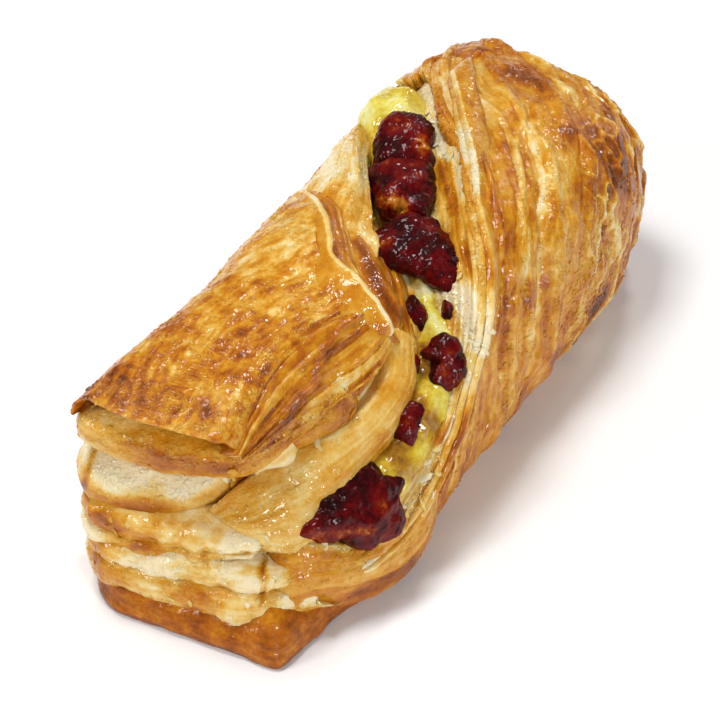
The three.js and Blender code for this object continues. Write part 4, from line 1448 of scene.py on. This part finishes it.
CUSTARD_COLOURS = (
    (0.24, (0.20, 0.07, 0.008)),
    (0.44, (0.42, 0.20, 0.012)),
    (0.64, (0.66, 0.45, 0.03)),
    (0.80, (0.78, 0.68, 0.12)),
    (0.95, (0.86, 0.82, 0.42)),
)
custard_finish = glossy_food(
    "custard", CUSTARD_COLOURS, 230.0, 0.3, 0.3, (1.0, 0.7, 0.15), 0.9)
print("custard material:", len(custard_finish.node_tree.nodes), "nodes")


# %% Parts that every tree has
def fresh_tree(name, floats, integers):
    """A tree that is given a mesh or curve and named numbers, its net, and what it is given."""
    tree = bpy.data.node_groups.new(name, "GeometryNodeTree")
    face = tree.interface
    face.new_socket("Geometry", in_out="INPUT", socket_type="NodeSocketGeometry")
    for kind, numbers in (("Float", floats), ("Int", integers)):
        for label, value in numbers.items():
            socket = face.new_socket(label, in_out="INPUT", socket_type=f"NodeSocket{kind}")
            socket.default_value = value
    face.new_socket("Geometry", in_out="OUTPUT", socket_type="NodeSocketGeometry")
    net = Net(tree)
    return tree, net, net.add("NodeGroupInput").outputs


def pushed_out(net, geometry, height):
    """The smooth-shaded geometry, moved along its normals by a height."""
    normal = net.add("GeometryNodeInputNormal").outputs["Normal"]
    offset = net.vector("SCALE", {0: normal, "Scale": height})
    moved = net.add("GeometryNodeSetPosition", {"Geometry": geometry, "Offset": offset})
    return net.add("GeometryNodeSetShadeSmooth", {"Geometry": moved.outputs[0]}).outputs[0]


def lumps_in_space(net, seed_way, scale, detail):
    """Noise from -0.5 to 0.5 at each place, in another pattern for each seed."""
    place = net.add("GeometryNodeInputPosition").outputs["Position"]
    lumps = net.add("ShaderNodeTexNoise", {
        "Vector": place, "W": seed_way, "Scale": scale, "Detail": detail,
    }, noise_dimensions="4D")
    return net.math("SUBTRACT", lumps.outputs["Fac"], 0.5)


def end_tree(net, geometry, material):
    real = net.add("GeometryNodeRealizeInstances", {"Geometry": geometry})
    finished = net.add("GeometryNodeSetMaterial", {"Geometry": real.outputs[0], "Material": material})
    net.links.new(finished.outputs[0], net.add("NodeGroupOutput").inputs[0])


def grown(name, source, tree, **inputs):
    """The plain mesh that a tree makes of an object, with its named inputs set."""
    bpy.context.scene.collection.objects.link(source)
    modifier = source.modifiers.new("nodes", "NODES")
    modifier.node_group = tree
    sockets = {i.name: i.identifier for i in tree.interface.items_tree if i.item_type == "SOCKET"
               and i.in_out == "INPUT"}
    for label, value in inputs.items():
        modifier[sockets[label.replace("_", " ")]] = value
    evaluated = source.evaluated_get(bpy.context.evaluated_depsgraph_get())
    mesh = bpy.data.meshes.new_from_object(evaluated)
    mesh.name = name
    source.modifiers.remove(modifier)
    bpy.data.objects.remove(source)
    return mesh


# %% Tree for a lumpy strand
def strand_tree(material):
    tree, net, given = fresh_tree("lumpy strand", {
        "Spacing": 0.0005, "Lump height": 0.0009, "Lump scale": 260.0,
    }, {"Sides": 48, "Seed": 0})
    even = net.add("GeometryNodeResampleCurve", {
        "Curve": given["Geometry"], "Length": given["Spacing"]}, mode="LENGTH")
    section = net.add("GeometryNodeCurvePrimitiveCircle", {"Resolution": given["Sides"], "Radius": 1.0})
    tube = net.add("GeometryNodeCurveToMesh", {
        "Curve": even.outputs["Curve"], "Profile Curve": section.outputs["Curve"], "Fill Caps": True,
        "Scale": net.add("GeometryNodeInputRadius").outputs["Radius"]})
    lumps = lumps_in_space(net, net.math("MULTIPLY", given["Seed"], 0.37), given["Lump scale"], 3.0)
    height = net.math("MULTIPLY", net.math("MULTIPLY", lumps, given["Lump height"]), 4.0)
    end_tree(net, pushed_out(net, tube.outputs["Mesh"], height), material)
    return tree


def curve_object(name, points, radii):
    """A smooth curve through points in mm, with a radius in mm at each."""
    data = bpy.data.curves.new(name, "CURVE")
    data.dimensions = "3D"
    line = data.splines.new("POLY")
    line.points.add(len(points) - 1)
    for target, point, radius in zip(line.points, (np.asarray(points) - MIDDLE) * MM, radii):
        target.co = (*point, 1.0)
        target.radius = radius * MM
    return bpy.data.objects.new(name, data)


# %% The custard strand
CUSTARD_RADII = (2.0, 3.6, 4.2, 3.8, 3.6, 3.2, 2.0, 2.4, 4.2, 4.6, 5.2, 5.6, 2.0)
share = np.linspace(0, 1, 160)
strand_line = spline(VALLEY - (0, 0, 1.4))(share)
strand_radius = through(np.linspace(0, 1, len(CUSTARD_RADII)), CUSTARD_RADII)(share)
lumpy = strand_tree(custard_finish)
strand_mesh = grown("custard_strand", curve_object("strand", strand_line, strand_radius), lumpy,
                    Lump_height=0.0011, Lump_scale=210.0, Seed=3)
# %% The custard's tints
CUSTARD_PATCHES = (
    (((375, 100), (400, 105), (420, 125)), 30, 0.12),
    (((365, 154), (366, 160)), 14, -0.04),
    (((425, 262), (445, 280)), 16, -0.16),
    (((405, 290), (445, 292)), 12, 0.2),
    (((426, 302), (440, 330)), 8, 0.14),
    (((412, 315), (402, 340)), 14, -0.4),
    (((425, 350), (426, 370)), 14, -0.36),
    (((395, 385), (425, 400)), 18, -0.12),
    (((425, 405), (438, 435)), 16, -0.22),
    (((385, 455), (400, 470), (430, 478)), 22, -0.22),
    (((405, 400), (420, 420), (400, 450)), 22, -0.2),
)
coordinates = np.empty(len(strand_mesh.vertices) * 3)
strand_mesh.vertices.foreach_get("co", coordinates)
strand_points = coordinates.reshape(-1, 3) / MM + MIDDLE
strand_tint = painted(strand_points, np.tile((0.0, 0.0, 1.0), (len(strand_points), 1)), CUSTARD_PATCHES, 7)
strand_mesh.attributes.new("tint", "FLOAT", "POINT").data.foreach_set("value", strand_tint)
print("custard strand faces:", len(strand_mesh.polygons))
piece_of(strand_mesh, "custard", custard_finish)

# %% [markdown]
# ## Cranberries
# A dried cranberry is a torn, wrinkled skin round a little soft flesh: nearly black in its folds,
# ruby where the light comes through and orange-brown where the syrup has caramelised. Each starts
# as a cushion whose outline is the fruit's own, and one tree of Geometry Nodes wrinkles them all.

# %% Cranberry material
CRANBERRY_COLOURS = (
    (0.40, (0.010, 0.001, 0.001)),
    (0.60, (0.035, 0.001, 0.002)),
    (0.74, (0.10, 0.001, 0.002)),
    (0.86, (0.15, 0.005, 0.001)),
    (0.97, (0.30, 0.05, 0.004)),
    (1.0, (0.44, 0.15, 0.012)),
)
cranberry_finish = glossy_food(
    "cranberry", CRANBERRY_COLOURS, 260.0, 0.4, 0.05, (1.0, 0.12, 0.06), 0.3)
print("cranberry material:", len(cranberry_finish.node_tree.nodes), "nodes")


# %% Tree that wrinkles a fruit
def wrinkle_tree(material):
    tree, net, given = fresh_tree(
        "wrinkled fruit", {"Wrinkle depth": 0.001, "Wrinkle scale": 320.0}, {"Seed": 0})
    seed_way = net.math("MULTIPLY", given["Seed"], 0.71)

    def fold(scale_factor):
        """Sharp-bottomed folds: how far the noise is from its middle."""
        scale = net.math("MULTIPLY", given["Wrinkle scale"], scale_factor)
        return net.math("ABSOLUTE", lumps_in_space(net, seed_way, scale, 1.0))

    folds = net.math("MULTIPLY_ADD", fold(2.7), 0.34, fold(1.0))
    folds = net.math("MULTIPLY_ADD", fold(6.5), 0.16, folds)
    height = net.math("MULTIPLY", net.math("SUBTRACT", 0.16, folds), given["Wrinkle depth"])
    end_tree(net, pushed_out(net, given["Geometry"], height), material)
    return tree


# %% Fruit with outlines of their own
def fruit_mesh(name, outline, at, face, deep, seed, patches=(), side=84):
    """A cushion that faces a direction, as deep as given, whose outline shows as a list of pixels.
    Its two sheets are square grids drawn round, so that no rows run together on it."""
    face, at = unit(np.asarray(face, float)), np.asarray(at, float)
    rim = on_plane(outline, at, face)
    at = rim.mean(0)
    across = unit(np.cross(face, (0.0, 0.0, 1.0)))
    upwards = np.cross(face, across)
    turn = np.arctan2((rim - at) @ upwards, (rim - at) @ across)
    order = np.argsort(turn)
    turn, reach = turn[order], np.linalg.norm(rim - at, axis=1)[order]
    turn = np.r_[turn[-1] - 2 * math.pi, turn, turn[0] + 2 * math.pi]
    reach = np.r_[reach[-1], reach, reach[0]]
    square = np.linspace(-1, 1, side)
    u, v = np.meshgrid(square, square, indexing="ij")
    share = np.maximum(abs(u), abs(v))
    angle = np.arctan2(v, u)
    radius = np.interp(angle, turn, reach) * (1 + 0.07 * rough(
        np.stack([np.cos(angle), np.sin(angle), 0 * angle], -1) * 3.4, 3, seed))
    latitude = (1 - share) * math.pi / 2
    fullness = np.cos(latitude) ** 0.8
    flat = (fullness * radius)[..., None] * (
        across * np.cos(angle)[..., None] + upwards * np.sin(angle)[..., None])
    height = deep * np.sin(latitude)
    sheets = np.stack([at + flat + sign * height[..., None] * face for sign in (1, -1)])
    number = np.arange(sheets[..., 0].size).reshape(sheets.shape[:-1])
    on_rim = share >= 1 - 1e-9
    number[1][on_rim] = number[0][on_rim]
    quads = np.concatenate([
        np.stack([n[:-1, :-1], n[1:, :-1], n[1:, 1:], n[:-1, 1:]], -1).reshape(-1, 4)[:, ::step]
        for n, step in ((number[0], 1), (number[1], -1))])
    used, quads = np.unique(quads, return_inverse=True)
    quads = quads.reshape(-1, 4)
    points = sheets.reshape(-1, 3)[used]
    if signed_volume(points, quads, quads[:1, :3]) < 0:
        quads = quads[:, ::-1]
    tint = painted(points, np.tile(face, (len(points), 1)), patches, seed)
    return mesh_from(name, points, quads, tint=tint)


# %% The nine fruits
FRUITS = (
    # a place in it, where it faces, half its depth, and its outline in the picture
    ((25, 14, 34.6), (-0.2, -0.1, 1), 3.2, (
        (389, 119), (397, 116), (419, 120), (429, 127), (432, 150), (430, 169), (400, 174), (376, 170),
        (375, 156), (381, 131))),
    ((16, 8.6, 33.8), (-0.1, -0.1, 1), 3.2, (
        (371, 168), (400, 164), (429, 168), (433, 185), (431, 202), (424, 218), (412, 219), (402, 212),
        (393, 218), (384, 216), (377, 198), (371, 185))),
    ((6.3, -1.8, 32.6), (-0.25, -0.3, 1), 2.2, (
        (363, 241), (373, 234), (386, 222), (400, 214), (432, 219), (446, 229), (452, 247), (465, 261),
        (478, 277), (479, 289), (469, 293), (461, 277), (446, 268), (424, 278), (402, 270), (378, 261),
        (370, 252))),
    ((-1.2, -7, 28.4), (-0.5, -0.4, 0.8), 1.6, (
        (407, 317), (413, 297), (420, 304), (424, 322), (421, 331), (413, 326))),
    ((1.6, -12.2, 27.8), (-0.5, -0.4, 0.8), 1.6, (
        (445, 302), (451, 309), (461, 316), (456, 328), (449, 322), (444, 312))),
    ((-8.4, -15, 27.0), (-0.3, -0.75, 0.6), 2.4, (
        (437, 337), (445, 332), (453, 338), (459, 353), (467, 368), (461, 382), (450, 391), (437, 393),
        (428, 382), (429, 371), (433, 362), (423, 352), (432, 347))),
    ((-13.6, -11.6, 27.6), (-0.4, -0.7, 0.5), 1.5, (
        (403, 348), (410, 355), (418, 366), (416, 374), (408, 378), (403, 366))),
    ((-21, -16.4, 22.0), (-0.3, -0.8, 0.6), 2.0, (
        (402, 404), (414, 402), (423, 412), (417, 424), (414, 437), (410, 449), (399, 449), (392, 436),
        (395, 424))),
    ((-34.8, -17.4, 16.4), (-0.22, -0.78, 0.58), 3.6, (
        (290, 531), (300, 521), (308, 512), (310, 498), (325, 492), (339, 472), (351, 468), (367, 463),
        (382, 473), (401, 480), (396, 493), (405, 523), (398, 533), (378, 542), (366, 548), (348, 546),
        (338, 540), (328, 543), (311, 539), (292, 536))),
)
FRUIT_PATCHES = (
    (((376, 499), (377, 506)), 18, 0.03),
    (((292, 536), (333, 533), (372, 530)), 12, 0.17),
    (((325, 500), (345, 480), (365, 472)), 26, -0.12),
    (((395, 485), (400, 495)), 10, 0.1),
    (((380, 205), (392, 196), (398, 208)), 17, 0.24),
    (((420, 130), (424, 160)), 12, 0.16),
    (((386, 120), (405, 140), (404, 165)), 30, 0.12),
    (((385, 190), (400, 200), (412, 215)), 30, 0.1),
    (((378, 178), (420, 190), (424, 210)), 16, -0.12),
    (((373, 244), (386, 243)), 12, 0.14),
    (((405, 230), (440, 245), (462, 275)), 18, -0.08),
    (((444, 360), (452, 378)), 18, 0.08),
    (((405, 425), (412, 405)), 14, 0.2),
)
# %% The fruits, wrinkled
wrinkles = wrinkle_tree(cranberry_finish)
for number, (at, face, deep, outline) in enumerate(FRUITS, 1):
    base = bpy.data.objects.new("fruit", fruit_mesh(
        "fruit", outline, at, face, deep, number, FRUIT_PATCHES))
    mesh = grown(f"dried_cranberry_{number}", base, wrinkles, Wrinkle_depth=0.0032, Wrinkle_scale=150.0,
                 Seed=number)
    piece_of(mesh, f"cranberry_{number}", cranberry_finish)

# %% [markdown]
# ## Glaze beads
# The sugar glaze dried in beads and short runs, and each catches a light: that is most of what the
# eye reads as a glazed crust. Geometry Nodes scatter flat drops over the dough, thickly where a
# number on the mesh says so, and each drop takes its colour from the crust it lies on.


# %% Tree that scatters small shapes
def scatter_tree(name, material, amount):
    """Small flattened drops on a surface, more of them where the attribute called amount is high."""
    tree, net, given = fresh_tree(name, {
        "Density": 1e6, "Smallest": 0.0001, "Largest": 0.0004, "Flatness": 0.4, "Tilt": 0.1, "Longest": 1.5,
    }, {"Seed": 0})
    share = net.add("GeometryNodeInputNamedAttribute", {"Name": amount}, data_type="FLOAT")
    density = net.math("MULTIPLY", given["Density"], share.outputs["Attribute"])
    points = net.add("GeometryNodeDistributePointsOnFaces", {
        "Mesh": given["Geometry"], "Density": density, "Seed": given["Seed"],
    }, distribute_method="RANDOM").outputs
    ball = net.add("GeometryNodeMeshUVSphere", {"Segments": 6, "Rings": 4, "Radius": 1.0})
    drop = net.add("GeometryNodeSetShadeSmooth", {"Geometry": ball.outputs["Mesh"]}).outputs[0]

    def random_value(low, high, seed, kind="FLOAT"):
        node = net.add("FunctionNodeRandomValue", {"Seed": seed}, data_type=kind)
        for socket, value in zip([i for i in node.inputs if i.enabled], (low, high)):
            if isinstance(value, bpy.types.NodeSocket):
                net.links.new(value, socket)
            else:
                socket.default_value = value
        return next(o for o in node.outputs if o.enabled)

    size = random_value(given["Smallest"], given["Largest"], 5)
    longest = net.add("ShaderNodeCombineXYZ", {0: given["Longest"], 1: 1.1, 2: 1.0}).outputs[0]
    stretch = random_value((0.6, 0.5, 1.0), longest, 7, "FLOAT_VECTOR")
    flat = net.add("ShaderNodeCombineXYZ", {0: 1.0, 1: 1.0, 2: given["Flatness"]}).outputs[0]
    scale = net.vector("SCALE", {0: net.vector("MULTIPLY", {0: stretch, 1: flat}), "Scale": size})
    spin = random_value((0.0, 0.0, 0.0), (0.0, 0.0, 2 * math.pi), 9, "FLOAT_VECTOR")
    tip = random_value((-1.0, -1.0, 0.0), (1.0, 1.0, 0.0), 11, "FLOAT_VECTOR")
    tilt = net.vector("SCALE", {0: tip, "Scale": given["Tilt"]})
    turned = net.add("FunctionNodeRotateRotation", {
        "Rotation": points["Rotation"], "Rotate By": net.vector("ADD", {0: spin, 1: tilt}),
    }, rotation_space="LOCAL")
    drops = net.add("GeometryNodeInstanceOnPoints", {
        "Points": points["Points"], "Instance": drop, "Rotation": turned.outputs[0], "Scale": scale})
    end_tree(net, drops.outputs["Instances"], material)
    return tree


# %% Beads on the dough
bead_tree = scatter_tree("glaze beads", bead_finish, "wet")
flake_tree = scatter_tree("torn flakes", flake_finish, "torn")
BEADED = (
    # the piece, how many drops a square metre where it is wet, the largest in m, how high they stand
    ("top_flap", 2.6e6, 0.00048, 0.36), ("fan_of_leaves", 3.0e6, 0.0004, 0.36),
    ("second_leaf", 1.6e6, 0.0006, 0.3), ("third_leaf", 1.8e6, 0.0006, 0.3),
    ("fourth_leaf", 2.4e6, 0.0004, 0.4), ("fifth_leaf", 2.4e6, 0.0004, 0.4),
    ("barrel", 1.9e6, 0.00045, 0.4), ("right_lip", 3.0e6, 0.0004, 0.36),
    ("front_fold", 2.0e6, 0.0004, 0.36), ("waist_wall", 2.4e6, 0.0004, 0.36),
    ("shoulder", 2.0e6, 0.0005, 0.36), ("valley_right_wall", 3.0e6, 0.0004, 0.36),
)
for seed, (piece_name, density, largest, flatness) in enumerate(BEADED, 1):
    source = bpy.data.objects.new("source", bpy.data.objects[piece_name].data)
    mesh = grown(f"beads_on_{piece_name}", source, bead_tree, Density=density, Smallest=0.00012,
                 Largest=largest, Flatness=flatness, Tilt=0.2, Longest=1.5, Seed=seed)
    piece_of(mesh, "pastry", bead_finish)

# %% [markdown]
# ## Torn flakes
# Where the dough was torn, small flakes stand up at odd angles. The tree of the beads scatters
# them too, with flatter, longer and more tilted shapes and another number on the mesh.

# %% Torn flakes
FLAKED = ("valley_right_wall", "waist_wall", "right_lip", "second_leaf", "third_leaf", "fourth_leaf",
          "fifth_leaf", "front_fold", "top_flap", "barrel", "fan_of_leaves")
for seed, piece_name in enumerate(FLAKED, 40):
    source = bpy.data.objects.new("source", bpy.data.objects[piece_name].data)
    mesh = grown(f"flakes_on_{piece_name}", source, flake_tree, Density=0.5e6, Smallest=0.0003,
                 Largest=0.001, Flatness=0.1, Tilt=0.4, Longest=2.2, Seed=seed)
    if len(mesh.polygons) > 0:
        piece_of(mesh, "pastry", flake_finish)
